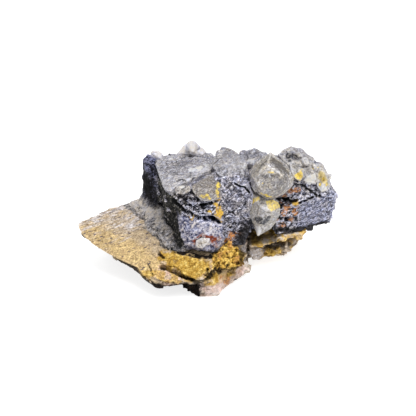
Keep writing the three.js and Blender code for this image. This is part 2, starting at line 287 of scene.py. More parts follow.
def join_shapes(piece, shapes):
    """Adds closed shapes, as (points, faces) in millimetres, to a piece's mesh."""
    mesh = piece.data
    verts = [tuple(v) for v in read_points(mesh)]
    faces = [tuple(p.vertices) for p in mesh.polygons]
    for points, polygons in shapes:
        start = len(verts)
        verts.extend(tuple(p) for p in points)
        faces.extend(tuple(start + i for i in polygon) for polygon in polygons)
    fresh = bpy.data.meshes.new(piece.name)
    fresh.from_pydata([tuple(v) for v in (np.array(verts) + TO_FRAME) * MM], [], faces)
    piece.data = fresh


def hull_shape(points):
    """The convex hull of some points, as (points, faces)."""
    shape = bmesh.new()
    for point in points:
        shape.verts.new(point)
    hull = bmesh.ops.convex_hull(shape, input=shape.verts)
    spare = [g for g in hull["geom_interior"] if isinstance(g, bmesh.types.BMVert)]
    bmesh.ops.delete(shape, geom=spare, context="VERTS")
    shape.verts.index_update()
    verts = [tuple(v.co) for v in shape.verts]
    faces = [tuple(v.index for v in f.verts) for f in shape.faces]
    shape.free()
    return verts, faces


def knob_corners(rng, count):
    """Corners at random places on a ball of radius 1."""
    corners = rng.normal(0, 1, (count, 3))
    return corners / np.linalg.norm(corners, axis=1)[:, None]


def torn_sheet(outline, thick, lift, rough, seed):
    """A thin plate with a torn outline, lifted off the surface its corners lie on."""
    rng = np.random.default_rng(seed)
    corners = np.array(outline, float)
    middle = corners.mean(0)
    _, _, axes = np.linalg.svd(corners - middle)
    up = axes[2] * np.sign(axes[2][2])
    edge = []
    for a, b in zip(corners, np.roll(corners, -1, 0)):
        steps = max(1, int(np.linalg.norm(b - a) / 0.7))
        for step in range(steps):
            point = a + (b - a) * step / steps
            away = point - middle
            away -= up * (away @ up)
            away /= max(np.linalg.norm(away), 1e-6)
            edge.append(point + away * rng.normal(0, rough) + up * rng.normal(0, 0.12))
    edge = np.array(edge)
    count = len(edge)
    faces = [tuple(range(count)), tuple(range(2 * count - 1, count - 1, -1))]
    faces += [(i, (i + 1) % count, count + (i + 1) % count, count + i) for i in range(count)]
    if np.cross(corners[1] - corners[0], corners[2] - corners[0]) @ up < 0:
        faces = [face[::-1] for face in faces]
    return np.concatenate([edge + up * lift, edge + up * (lift - thick)]), faces


BOX_CORNERS = np.array([(x, y, z) for x in (-1, 1) for y in (-1, 1) for z in (-1, 1)], float) / 2
BOX_FACES = [(0, 1, 3, 2), (4, 6, 7, 5), (0, 4, 5, 1), (2, 3, 7, 6), (0, 2, 6, 4), (1, 5, 7, 3)]


def turned(yaw, tilt, roll):
    """A turning matrix from three angles in radians."""
    cz, sz = math.cos(yaw), math.sin(yaw)
    cx, sx = math.cos(tilt), math.sin(tilt)
    cy, sy = math.cos(roll), math.sin(roll)
    about_z = np.array([[cz, -sz, 0], [sz, cz, 0], [0, 0, 1]])
    about_x = np.array([[1, 0, 0], [0, cx, -sx], [0, sx, cx]])
    about_y = np.array([[cy, 0, sy], [0, 1, 0], [-sy, 0, cy]])
    return about_z @ about_x @ about_y


def surface_samples(mesh, count, rng, wanted):
    """Random places on a mesh, denser where wanted(points, normals) is larger."""
    mesh.calc_loop_triangles()
    corners = np.zeros(len(mesh.loop_triangles) * 3, np.int32)
    mesh.loop_triangles.foreach_get("vertices", corners)
    corners = read_points(mesh)[corners.reshape(-1, 3)]
    cross = np.cross(corners[:, 1] - corners[:, 0], corners[:, 2] - corners[:, 0])
    area = np.linalg.norm(cross, axis=1)
    normal = cross / np.maximum(area, 1e-9)[:, None]
    weight = area * wanted(corners.mean(1), normal)
    pick = rng.choice(len(area), count, p=weight / weight.sum())
    a, b = rng.random(count), rng.random(count)
    flip = a + b > 1
    a, b = np.where(flip, 1 - a, a)[:, None], np.where(flip, 1 - b, b)[:, None]
    base = corners[pick]
    return base[:, 0] + a * (base[:, 1] - base[:, 0]) + b * (base[:, 2] - base[:, 0])


# ---- Shaders -------------------------------------------------------------------------------


def rgb(red, green, blue):
    """A colour given as it looks, from 0 to 255, as the light it stands for."""
    channels = []
    for channel in (red, green, blue):
        share = channel / 255
        channels.append(share / 12.92 if share <= 0.04045 else ((share + 0.055) / 1.055) ** 2.4)
    return tuple(channels)


class Value:
    """One output in a shader, with arithmetic that adds Math nodes."""

    def __init__(self, paint, socket):
        self.paint = paint
        self.socket = socket

    def math(self, operation, first, second, clamp=False):
        settings = {"operation": operation, "use_clamp": clamp}
        return self.paint.add("ShaderNodeMath", settings, {0: first, 1: second})

    def __add__(self, other):
        return self.math("ADD", self, other)

    def __sub__(self, other):
        return self.math("SUBTRACT", self, other)

    def __mul__(self, other):
        return self.math("MULTIPLY", self, other)

    def __rsub__(self, other):
        return self.math("SUBTRACT", other, self)

    __radd__ = __add__
    __rmul__ = __mul__

    def clipped(self):
        return self.math("ADD", self, 0.0, clamp=True)

    def above(self, low, high):
        """0 at low, 1 at high, smooth between."""
        links = {"Value": self, "From Min": low, "From Max": high}
        return self.paint.add("ShaderNodeMapRange", {"interpolation_type": "SMOOTHSTEP"}, links)


class Paint:
    """One material, built node by node."""

    def __init__(self, name):
        self.material = bpy.data.materials.new(name)
        self.material.use_nodes = True
        self.tree = self.material.node_tree
        self.surface = self.tree.nodes["Principled BSDF"]
        self.output = self.tree.nodes["Material Output"]
        spot = self.add("ShaderNodeTexCoord", out="Object")
        links = {0: spot, "Scale": 1 / MM}
        self.place = self.add("ShaderNodeVectorMath", {"operation": "SCALE"}, links)

    def add(self, kind, settings=None, links=None, out=0):
        """Adds a node: its settings first, then its sockets. Returns the output named by out."""
        node = self.tree.nodes.new(kind)
        for key, value in (settings or {}).items():
            if key == "stops":
                self.set_stops(node.color_ramp, value)
            else:
                setattr(node, key, value)
        for key, value in (links or {}).items():
            self.plug(node.inputs[key], value)
        return Value(self, node.outputs[out])

    def set_stops(self, ramp, stops):
        while len(ramp.elements) < len(stops):
            ramp.elements.new(0.5)
        for element, (at, colour) in zip(ramp.elements, stops):
            element.position = at
            element.color = (*colour, 1)

    def plug(self, socket, value):
        if isinstance(value, Value):
            self.tree.links.new(value.socket, socket)
        elif hasattr(socket.default_value, "__len__"):
            size = len(socket.default_value)
            socket.default_value = (*value, 1) if len(value) < size else value
        else:
            socket.default_value = value

    def tint(self, name):
        """A number kept on the mesh's points."""
        return self.add("ShaderNodeAttribute", {"attribute_name": name}, out="Fac")

    def noise(self, size, detail, rough, warp=0.0, place=None):
        links = {
            "Vector": place or self.place,
            "Scale": 1 / size,
            "Detail": detail,
            "Roughness": rough,
            "Distortion": warp,
        }
        return self.add("ShaderNodeTexNoise", {"noise_dimensions": "3D"}, links, "Fac")

    def cells(self, size, feature="F1", out="Distance", place=None):
        links = {"Vector": place or self.place, "Scale": 1 / size}
        return self.add("ShaderNodeTexVoronoi", {"feature": feature}, links, out)

    def lines(self, size, width, warp, place):
        """1 on thin winding lines, 0 between them."""
        wave = self.noise(size, 2, 0.5, warp, place) - 0.5
        return self.add("ShaderNodeMath", {"operation": "ABSOLUTE"}, {0: wave}).above(width, 0.0)

    def stretched(self, scale, turn):
        """The place turned and then scaled along each axis, for streaks and bands."""
        along = self.add("ShaderNodeMapping", None, {"Vector": self.place, "Rotation": turn})
        return self.add("ShaderNodeMapping", None, {"Vector": along, "Scale": scale})

    def grey_of(self, colour):
        return self.add("ShaderNodeRGBToBW", None, {"Color": colour})

    def ramp(self, value, *stops):
        """A ramp through stops, each given as (position, colour as light)."""
        return self.add("ShaderNodeValToRGB", {"stops": stops}, {"Fac": value}, "Color")

    def shades(self, value, *stops):
        """A ramp through stops, each given as (position, red, green, blue) as they look."""
        return self.ramp(value, *((at, rgb(*colour)) for at, *colour in stops))

    def mix(self, factor, low, high, blend="MIX"):
        settings = {"data_type": "RGBA", "blend_type": blend, "clamp_factor": True}
        return self.add("ShaderNodeMix", settings, {"Factor": factor, 6: low, 7: high}, 2)

    def layered(self, base, *layers):
        """The base with layers over it, each given as (how much, colour)."""
        for share, colour in layers:
            base = self.mix(share, base, colour)
        return base

    def bump(self, height, strength, distance):
        links = {"Height": height, "Strength": strength, "Distance": distance}
        return self.add("ShaderNodeBump", None, links, "Normal")

    def finish(self, **sockets):
        for key, value in sockets.items():
            self.plug(self.surface.inputs[key.replace("_", " ")], value)
        return self.material


# ---- Ochre rock ----------------------------------------------------------------------------

# Torn plates lying on the front of the bed, by their corners on its face.
YELLOW_PLATE = [
    (-18.9, -15.6, 14.3), (-15.8, -17.6, 14.8), (-11.6, -19.2, 14.3), (-8.6, -20.2, 14.0),
    (-4.1, -21.0, 13.8), (-1.6, -22.6, 13.4), (-0.9, -25.1, 12.3), (-0.7, -26.5, 11.3),
    (-1.9, -27.7, 10.3), (-2.9, -28.5, 9.2), (-4.2, -28.0, 9.3), (-5.9, -27.3, 9.9),
    (-8.2, -26.4, 10.1), (-10.0, -25.4, 10.6), (-12.3, -23.6, 11.5), (-13.4, -23.2, 11.5),
    (-14.9, -22.6, 11.6), (-16.3, -22.2, 11.7), (-14.2, -21.4, 12.2), (-15.2, -20.2, 12.9),
    (-17.3, -18.7, 13.7),
]
SMALL_PLATE = [
    (-1.1, -23.4, 13.2), (1.5, -22.8, 13.9), (2.9, -25.0, 12.7), (0.9, -25.9, 11.8),
    (-0.7, -25.8, 11.8),
]
RIM_PLATE = [
    (-29.5, -19.0, 12.0), (-24.8, -19.3, 12.2), (-21.5, -20.8, 12.0), (-20.3, -23.6, 10.9),
    (-21.0, -26.4, 9.2), (-23.8, -25.2, 9.3), (-27.0, -22.8, 10.4),
]
FRONT_PLATE = [
    (-19.6, -24.2, 10.6), (-15.0, -24.9, 10.6), (-12.0, -26.4, 9.7), (-8.0, -28.1, 8.9),
    (-12.0, -28.9, 8.2), (-17.5, -28.4, 8.1), (-20.4, -26.4, 9.0),
]
LEDGE_PLATE = [
    (16.5, -10.6, 15.3), (20.0, -10.9, 15.2), (24.0, -10.3, 15.3), (27.0, -8.6, 15.7),
    (31.0, -7.7, 15.8), (36.4, -6.5, 15.9), (38.0, -4.2, 16.2), (33.0, -3.0, 16.4),
    (20.0, -5.0, 16.1),
]

# Where the bed has split under the plates, its rim and the ledge, each split also painted dark
# as shade: width, depth and path.
SPLITS = [
    (1.5, 2.2, [
        (-17.2, -22.8, 11.1), (-14.9, -24.0, 10.7), (-12.3, -25.0, 10.4), (-10.6, -26.3, 9.7),
    ]),
    (1.3, 2.4, [(-10.6, -26.3, 9.7), (-7.4, -27.6, 9.1), (-3.5, -28.6, 8.0)]),
    (0.8, 1.3, [
        (-18.6, -17.3, 13.6), (-17.2, -19.2, 13.2), (-15.1, -20.8, 12.4), (-14.0, -21.9, 11.8),
    ]),
    (0.9, 1.6, [
        (-28.9, -21.9, 10.2), (-26.6, -23.6, 9.5), (-24.4, -25.3, 8.4), (-22.5, -26.9, 7.4),
    ]),
    (0.6, 1.0, [(-22.6, -21.3, 11.7), (-21.6, -23.2, 10.9), (-20.6, -25.2, 9.6)]),
    (0.7, 1.4, [(-21.6, -26.9, 8.1), (-20.0, -28.4, 7.1)]),
    (0.7, 1.4, [(-1.2, -22.4, 13.5), (-0.6, -24.2, 12.9), (-0.1, -26.4, 11.6)]),
    (0.8, 1.6, [(22.5, -9.9, 14.4), (26.0, -8.8, 14.9), (29.6, -7.2, 14.4), (33.5, -6.6, 14.6)]),
    (1.8, 2.2, [(20.0, -8.8, 12.6), (25.0, -7.2, 12.2), (31.0, -5.0, 12.4), (35.0, -3.6, 12.6)]),
]

# The worn outline of the bed. Along its front: x and the least y. Along the nose: the same, and
# the height below which it steps back. At the ledge's end: z and the largest x.
BED_FRONT = [
    (-46.8, -6.1), (-42.9, -10.6), (-39.8, -13.4), (-36.7, -15.9), (-33.9, -18.1), (-29.2, -21.2),
    (-25.4, -24.0),
]
NOSE_FRONT = [
    (5.0, -24.5, 2.6), (6.4, -23.0, 3.0), (8.3, -20.1, 3.0), (10.6, -18.9, 4.0), (12.6, -16.3, 3.8),
    (14.6, -13.2, 3.5),
]
LEDGE_END = [(3.0, 28.8), (4.1, 29.7), (5.4, 30.8), (7.9, 32.7), (9.8, 34.8), (15.6, 36.6)]

# Where rock has fallen out from under a ledge: x, y, z, half width and depth.
RECESSES = [
    (0.5, -25.8, 9.6, 3.0, 2.6), (5.0, -24.6, 9.8, 2.6, 2.0), (-8.0, -24.0, 5.0, 4.5, 1.4),
    (22.6, -8.2, 12.6, 3.4, 1.6), (27.0, -6.8, 12.6, 3.2, 1.4), (31.4, -5.0, 11.6, 2.6, 1.2),
    (15.0, -8.0, 10.6, 3.0, 2.0),
]

# Lobes that swell out of the nose and the ledge's foot: x, y, z and radius.
LOBES = [
    (-1.6, -25.4, 2.0, 2.4), (1.8, -25.0, 3.6, 2.0), (4.6, -23.4, 1.8, 2.6), (6.4, -21.6, 4.4, 2.2),
    (9.4, -18.6, 6.0, 2.6), (11.6, -16.0, 7.0, 2.6), (12.6, -15.2, 3.6, 2.0),
    (8.6, -20.0, 9.0, 1.8), (13.6, -13.4, 9.6, 2.0), (17.2, -4.4, 6.6, 2.6), (20.0, -3.4, 5.4, 2.4),
    (23.4, -3.0, 6.6, 2.2), (26.0, -2.6, 5.6, 2.0), (26.8, -2.0, 8.2, 2.4), (27.6, -2.8, 6.2, 2.2),
    (28.6, -1.6, 7.4, 2.4), (31.6, -1.4, 8.6, 2.0), (34.0, -0.6, 9.8, 2.0),
]

# The dark, ragged foot that the ore leaves on the bed.
FOOT_EDGE = [
    (-34.0, 11.6, 19.3), (-32.5, 10.3, 19.1), (-29.8, 7.6, 18.6), (-26.9, 4.8, 18.1),
    (-24.8, 2.6, 17.8), (-23.6, -2.7, 16.8), (-20.5, -6.7, 16.1), (-18.0, -8.7, 15.7),
    (-17.4, -13.3, 14.9), (-15.6, -15.3, 14.6), (-11.8, -17.8, 14.1),
]

# Painted shade, black, along the gap under the ore's front edge.
ORE_BRINK_SHADE = [
    (-12.6, -17.2, 14.9), (-9.0, -18.6, 14.5), (-4.0, -19.6, 14.3), (1.0, -19.8, 14.5),
    (4.0, -18.6, 15.0),
]

# The yellow band along the slab's front, and coloured patches: x, y, z and radius.
YELLOW_BAND = [
    (-47.0, -1.0, 16.6), (-38.5, -10.8, 14.7), (-31.0, -14.8, 13.6), (-26.3, -18.4, 12.5),
    (-22.0, -23.4, 10.8),
]
PLATE_SPOTS = [
    (-12, -21, 13, 4.5), (-6, -24, 11.5, 5.5), (-2, -25, 12, 3.5), (-16, -19, 13.5, 3),
    (-4, -26.5, 10.5, 2.6),
]
ORANGE_SPOTS = [
    (7.6, -21.4, 4.2, 1.5), (6.4, -23.0, 4.6, 0.9), (12.6, -17.4, 8.6, 1.3), (5.4, -24.0, 7.4, 0.9),
]
PALE_SPOTS = [
    (15.8, -5.4, 7.0, 1.4), (14.9, -5.6, 6.4, 1.2), (30.0, -7.1, 16.3, 1.3),
    (27.6, -9.0, 15.6, 1.0), (34.2, -5.8, 16.4, 0.9), (24.6, -8.6, 16.0, 0.9),
    (27.2, -7.8, 16.2, 0.9), (31.5, -5.8, 16.0, 2.0), (28.6, -5.4, 16.1, 1.2),
    (22.0, -10.4, 15.2, 1.4), (25.4, -9.6, 15.6, 1.3), (32.6, -7.4, 15.4, 1.2),
    (17.4, -5.4, 8.4, 2.4), (18.8, -5.0, 6.4, 2.6), (19.6, -4.0, 4.6, 2.2), (15.8, 2.6, 2.4, 1.4),
    (14.2, -14.0, 6.4, 2.0), (13.8, -5.8, 9.4, 2.0), (14.6, -5.6, 8.2, 1.8), (1.0, -26.0, 2.0, 3.0),
    (4.8, -25.4, 2.4, 2.8), (11.6, -17.0, 6.0, 2.0),
]
PINK_SPOTS = [
    (-15.6, -24.6, 10.5, 3.0), (-18.4, -25.0, 10.0, 2.2), (-11.5, -26.2, 9.6, 2.6),
    (-14.0, -28.6, 8.3, 2.8), (4.0, -24.6, 4.6, 3.4), (7.6, -21.6, 6.2, 2.8),
    (-1.5, -26.4, 4.0, 3.0), (11.6, -16.6, 6.0, 3.0),
]
# Hollows where shade is painted dark: x, y, z and radius.
HOLLOW_SHADE_SPOTS = [
    (-1.0, -26.6, 9.6, 1.8), (1.6, -25.2, 9.6, 1.8), (4.2, -23.2, 9.6, 1.5),
    (14.4, -10.0, 11.6, 2.4), (16.2, -4.8, 16.1, 2.6), (18.0, -7.4, 16.0, 2.2),
    (19.6, -8.2, 15.9, 2.4), (21.6, -7.6, 15.9, 2.2), (23.6, -7.2, 16.0, 1.8),
    (15.4, -9.0, 14.0, 1.9), (14.8, -6.0, 4.0, 1.6), (21.8, -6.6, 11.0, 1.7),
    (24.6, -5.8, 10.8, 2.0), (27.4, -5.0, 10.6, 1.7), (23.6, -4.6, 10.4, 2.0),
    (26.4, -4.4, 10.2, 2.0), (29.0, -4.0, 10.2, 1.7), (31.4, -3.2, 10.0, 1.1),
    (30.6, -4.2, 11.4, 1.2), (33.4, -3.4, 11.8, 1.0), (-8.5, -25.5, 6.0, 3.2),
    (-5.0, -26.0, 4.0, 2.4),
]

CRUMB_COUNT = 300
FLAKE_COUNT = 170
ROCK_SKIN = 0.4


def bed_depth(points):
    """How far each point lies below the contact bed."""
    return BED_LEVEL + BED_RISE * points[:, 1] - points[:, 2]


def past_foot(points):
    """How far each point lies on the bed side of the ragged edge of the ore's foot."""
    path = np.array(FOOT_EDGE)[::-1]
    ragged = 1.1 * rubble(points, 2.6, 4, 37, 0.75)
    return np.interp(points[:, 1], path[:, 1], path[:, 0]) - points[:, 0] + ragged


def bedding(points, thick, seed):
    """-1 to 1, the same along each layer of the bed and changing slowly along it."""
    level = bed_depth(points) / thick + 0.35 * rubble(points, 7, 2, seed)
    layer = np.floor(level)
    place = np.stack([points[:, 0] / 6, points[:, 1] / 6, layer * 3.7], 1)
    return swell(place, 1.0, seed + 3), level - layer


def rock_shapes(piece):
    """Everything that stands out of the rock, as closed shapes to join to it."""
    rng = np.random.default_rng(11)
    shapes = [
        torn_sheet(YELLOW_PLATE, 1.5, 0.75, 0.3, 1),
        torn_sheet(SMALL_PLATE, 1.2, 0.6, 0.25, 2),
        torn_sheet(RIM_PLATE, 0.9, 0.35, 0.3, 3),
        torn_sheet(FRONT_PLATE, 1.0, 0.3, 0.3, 4),
        torn_sheet(LEDGE_PLATE, 1.4, 0.35, 0.3, 5),
    ]
    # Loose crumbs caked on the lump, the ledge's foot and the torn front.
    for place in surface_samples(piece.data, CRUMB_COUNT, rng, crumb_share):
        size = 0.5 + 1.8 * rng.random() ** 2
        shapes.append(hull_shape(place + rng.normal(0, 0.42, (8, 3)) * size))
    # Thin flakes lying along the bed on every broken edge.
    for place in surface_samples(piece.data, FLAKE_COUNT, rng, flake_share):
        spread = rng.uniform(0.8, 3.2) if place[1] < 6 else rng.uniform(0.6, 1.3)
        offsets = rng.uniform(-1, 1, (9, 3)) * [spread, spread, rng.uniform(0.2, 0.45)]
        offsets[:, 2] += offsets[:, 1] * BED_RISE
        shapes.append(hull_shape(place + offsets))
    for x, y, z, radius in LOBES:
        for _ in range(3):
            middle = np.array([x, y, z]) + rng.normal(0, 0.35 * radius, 3)
            corners = knob_corners(rng, 14) * rng.uniform(0.45, 0.8, (14, 1)) * radius
            middle[2] = max(middle[2], 0.8 * radius)
            shapes.append(hull_shape(middle + corners))
    return shapes


def make_rock():
    piece = copy_of_node("ochre_matrix", "rock")
    join_shapes(piece, rock_shapes(piece))
    mesh = remeshed(piece, ROCK_SKIN)
    points = read_points(mesh)
    normals = read_normals(mesh)
    x, y, z = points.T
    front = ease(x, -16, -21)
    top = ease(normals[:, 2], 0.55 - 0.3 * front, 0.8 - 0.3 * front)
    top = top * ease(bed_depth(points), 7, 4)
    side = 1 - top
    lump = within(x, 2, 13.5) * within(y, -26, -15.5) * within(z, 11, 19)
    plate = patches(points, PLATE_SPOTS, 3, 0.2)
    nose = within(x, -5, 15, 2) * ease(z, 10, 8) * ease(y, -11, -14)
    low_ledge = within(x, 16, 36) * ease(z, 12, 10) * ease(y, 2, 0)
    resting = ease(z, 0.15, 1.2)

    layer, phase = bedding(points, 1.1, 21)
    fine_layer, _ = bedding(points, 0.45, 29)
    seam, _ = grains(points, 1.9, 31)
    bedded = side * (1 - 0.5 * front) * (1 - 0.85 * nose)
    bedded = bedded * (0.45 + 0.55 * ease(rubble(points, 6, 2, 17), -0.4, 0.4))
    push = bedded * (0.6 * layer + 0.25 * fine_layer - 0.3 * ease(np.abs(phase - 0.5), 0.3, 0.5))
    push += side * (1 - 0.6 * front) * 0.75 * rubble(points, 4.5, 4, 5)
    push += top * (0.14 * rubble(points, 3.5, 3, 7) + 0.09 * rubble(points, 0.9, 2, 8))
    push += lump * (0.25 * ease(seam, 0.0, 0.3) - 0.6 + 1.2 * rubble(points, 2.8, 4, 9, 0.75))
    push += nose * (rubble(points, 5.0, 2, 15) + 0.2 * rubble(points, 1.8, 3, 16))
    push += low_ledge * 0.55 * rubble(points, 3.2, 4, 18, 0.65)
    outward = ease(-normals[:, 1], 0.0, 0.3)
    ragged = 0.3 * rubble(points, 2.5, 3, 14)
    for hx, hy, hz, radius, deep in RECESSES:
        gap = np.linalg.norm((points - [hx, hy, hz]) / [radius, radius, radius * 0.6], axis=1)
        push -= deep * outward * ease(gap + ragged, 1.1, 0.5)
    ragged = 0.25 * rubble(points, 1.4, 2, 13)
    for width, deep, path in SPLITS:
        push -= deep * ease(line_distance(points, path) + ragged, width * 0.65, width * 0.25)
    points = worn(points + normals * (push * resting)[:, None])
    points[:, 2] = np.maximum(points[:, 2], 0)
    write_points(mesh, points)

    fine = hollows(mesh, 5)
    broad = hollows(mesh, 30)
    x, y, z = points.T
    streak = points @ np.array([[0.39, -0.54, 0], [0.22, 0.96, 0], [0, 0, 0.3]])
    band = line_distance(points, YELLOW_BAND) + 1.6 * rubble(streak, 5, 3, 42)
    ledge = within(x, 17, 40) * within(y, -13, 2) * ease(z, 12.0, 13.5)
    middle = within(x, 21.5, 28, 1.5) * within(z, 3, 9) * (y < 6)
    mouth = within(x, -1, 12) * within(z, 5.5, 11.0) * (y < -15)
    rim = within(x, -24, -5, 2) * within(z, 8.0, 10.5, 0.7) * (y < -24)
    ochre = most(
        most(plate, lump) * ease(rubble(points, 3, 3, 43), -1.3, -0.7),
        ledge * (0.5 + 0.5 * ease(rubble(points, 2.5, 3, 44), -0.5, 0.1)),
        middle * ease(rubble(points, 3, 3, 38), -0.6, 0.0),
        0.8 * within(x, 27, 38) * (z < 13) * ease(rubble(points, 2.5, 3, 39), 0.0, 0.5),
        mouth * (0.55 + 0.45 * ease(rubble(points, 2.5, 3, 45), -0.3, 0.3)),
        0.8 * rim * ease(rubble(points, 2.5, 3, 35), -0.4, 0.2),
    )
    orange = patches(points, ORANGE_SPOTS, 34, 0.5, 0.8)
    bleached = 0.9 * patches(points, PALE_SPOTS, 46, 0.5, 0.8)
    drift = y - 0.25 * x + 9 * rubble(streak, 3, 4, 47, 0.6)
    pale = most(bleached, 0.9 * top * ease(drift, 0, 14))
    pink = most(
        0.9 * patches(points, PINK_SPOTS, 48, 0.5, 0.8),
        0.5 * side * ease(rubble(points, 5, 2, 49), 0.1, 0.6) * (x < 16),
    )
    ragged = x + 1.2 * rubble(points, 1.8, 4, 52, 0.75)
    brink = line_distance(points, ORE_BRINK_SHADE) + 0.5 * rubble(points, 2, 2, 33)
    flecks = ease(rubble(points, 1.4, 3, 53, 0.7), 0.3, 0.55)
    # Painted shade: darker in broad hollows, in the splits, on faces turned down just above the floor,
    # low on the front under the plates, in the shaded hollows, at the bed level under the ore's front
    # and in the gap under its front edge, with a few lighter flecks left in that gap.
    dark = most(
        ease(broad, 0.5, 1.5),
        *(ease(line_distance(points, path), width * 0.85, width * 0.4) for width, _, path in SPLITS),
        0.9 * ease(normals[:, 2], -0.2, -0.6) * ease(z, 0, 2) * ease(x, 15, 11),
        within(ragged, -22, -3.6) * ease(z + rubble(points, 3, 3, 50), 8.0, 6.8) * ease(y, -10, -14),
        0.9 * patches(points, HOLLOW_SHADE_SPOTS, 36, 0.4, 0.7),
        0.8 * ease(bed_depth(points), 1.0, 0.2) * within(x, 12, 26) * (y < -8.2),
        ease(brink, 2.0, 1.2) * (1 - 0.55 * flecks),
    )
    stain = ease(past_foot(points), 0.5, 0.0) * ease(x, -11, -13)
    stain = stain * ease(z, 12.5, 13.8) * ease(normals[:, 2], 0.2, 0.5) * ease(y, 15, 13)
    # The tone: painted shade in fine hollows and painted highlight on ridges, steep sides a touch
    # darker, and the ledge's top strip painted lighter, partly its cream colour and partly light over
    # the shade cast by the crystal above; the rest is the rock's own tone.
    tone = 0.6 - (1.2 - 0.5 * nose + 0.9 * lump) * np.clip(fine, -0.25, 0.3) - 0.06 * side
    tone = tone + 0.02 * nose + 0.1 * lump + 0.4 * ledge * ease(z, 13.2, 14.2) - 0.01 * low_ledge
    tone = tone - 0.05 * plate + 0.14 * bleached * side - 0.06 * top * ease(x, -34, -38)
    write_tints(
        mesh,
        yellow=most(0.85 * ease(band, 9.5, 2.5) * ease(z, 7, 9), 0.35 * top),
        ochre=ochre * (1 - 0.85 * bleached),
        orange=most(orange, 0.7 * lump * ease(rubble(points, 2.2, 3, 32), 0.15, 0.55)),
        pale=most(bleached, pale * (1 - ochre)),
        pink=pink,
        dark=dark,
        stain=stain,
        tone=tone,
        top=top,
        smooth=0.9 * nose + 0.5 * low_ledge + 0.25 * top + 0.15 * plate,
    )
    place_piece(piece, "ochre_matrix", "ochre_rock", paint_rock())


def worn(points):
    """The points brought back to the bed's worn outline at its front, its nose and its end."""
    points = points.copy()
    # These follow the points as they move, so that each step starts from the last one's outline.
    x, y, z = points.T
    chipped = 0.35 * rubble(points, 1.8, 3, 19)
    front_x, front_y = np.array(BED_FRONT).T
    sunk = 1.5 * np.clip(bed_depth(points) - 1.0, 0, 4)
    limit = np.interp(x, front_x, front_y) - 0.9 + chipped + sunk
    points[:, 1] += np.maximum(limit - y, 0) * ease(x, -24.5, -27) * ease(y, -4, -6)
    nose_x, nose_y, nose_z = np.array(NOSE_FRONT).T
    below = np.clip(np.interp(x, nose_x, nose_z) - z, 0, 5)
    limit = np.interp(x, nose_x, nose_y) - 1.5 + 2 * chipped + 1.9 * below
    points[:, 1] += np.maximum(limit - y, 0) * within(x, 5.5, 15.0, 1.5) * ease(z, 5.0, 4.0)
    end_z, end_x = np.array(LEDGE_END).T
    limit = np.interp(z, end_z, end_x) + 0.2 + chipped
    points[:, 0] -= np.maximum(x - limit, 0) * ease(z, 15.6, 15.0) * ease(y, 14, 10)
    points[:, 1] += 1.3 * ease(x, -28, -34) * ease(y, 0, 8)
    points[:, 1] += np.clip(-19.5 - y, 0, 5) * within(x, -16, -10.4, 0.8) * ease(z, 5.6, 4.4)
    return points


def crumb_share(points, normals):
    x, y, z = points.T
    lump = within(x, 1.5, 13.5) * within(y, -27, -15) * within(z, 10, 19)
    ledge = within(x, 16, 36) * within(z, 2, 10) * within(y, -12, 3)
    return 0.05 + 1.4 * lump + 0.35 * ledge


def flake_share(points, normals):
    x, y, z = points.T
    side = ease(np.abs(normals[:, 2]), 0.9, 0.6)
    share = side * ease(z, 1.5, 3.5) * (1 - within(x, 1.5, 13.5) * within(y, -27, -15))
    share = share * (1 - 0.85 * ease(y, 6, 12))
    return share * (0.06 + 0.94 * ease(x, -22, -14)) * (1 - 0.9 * within(x, 10, 17))


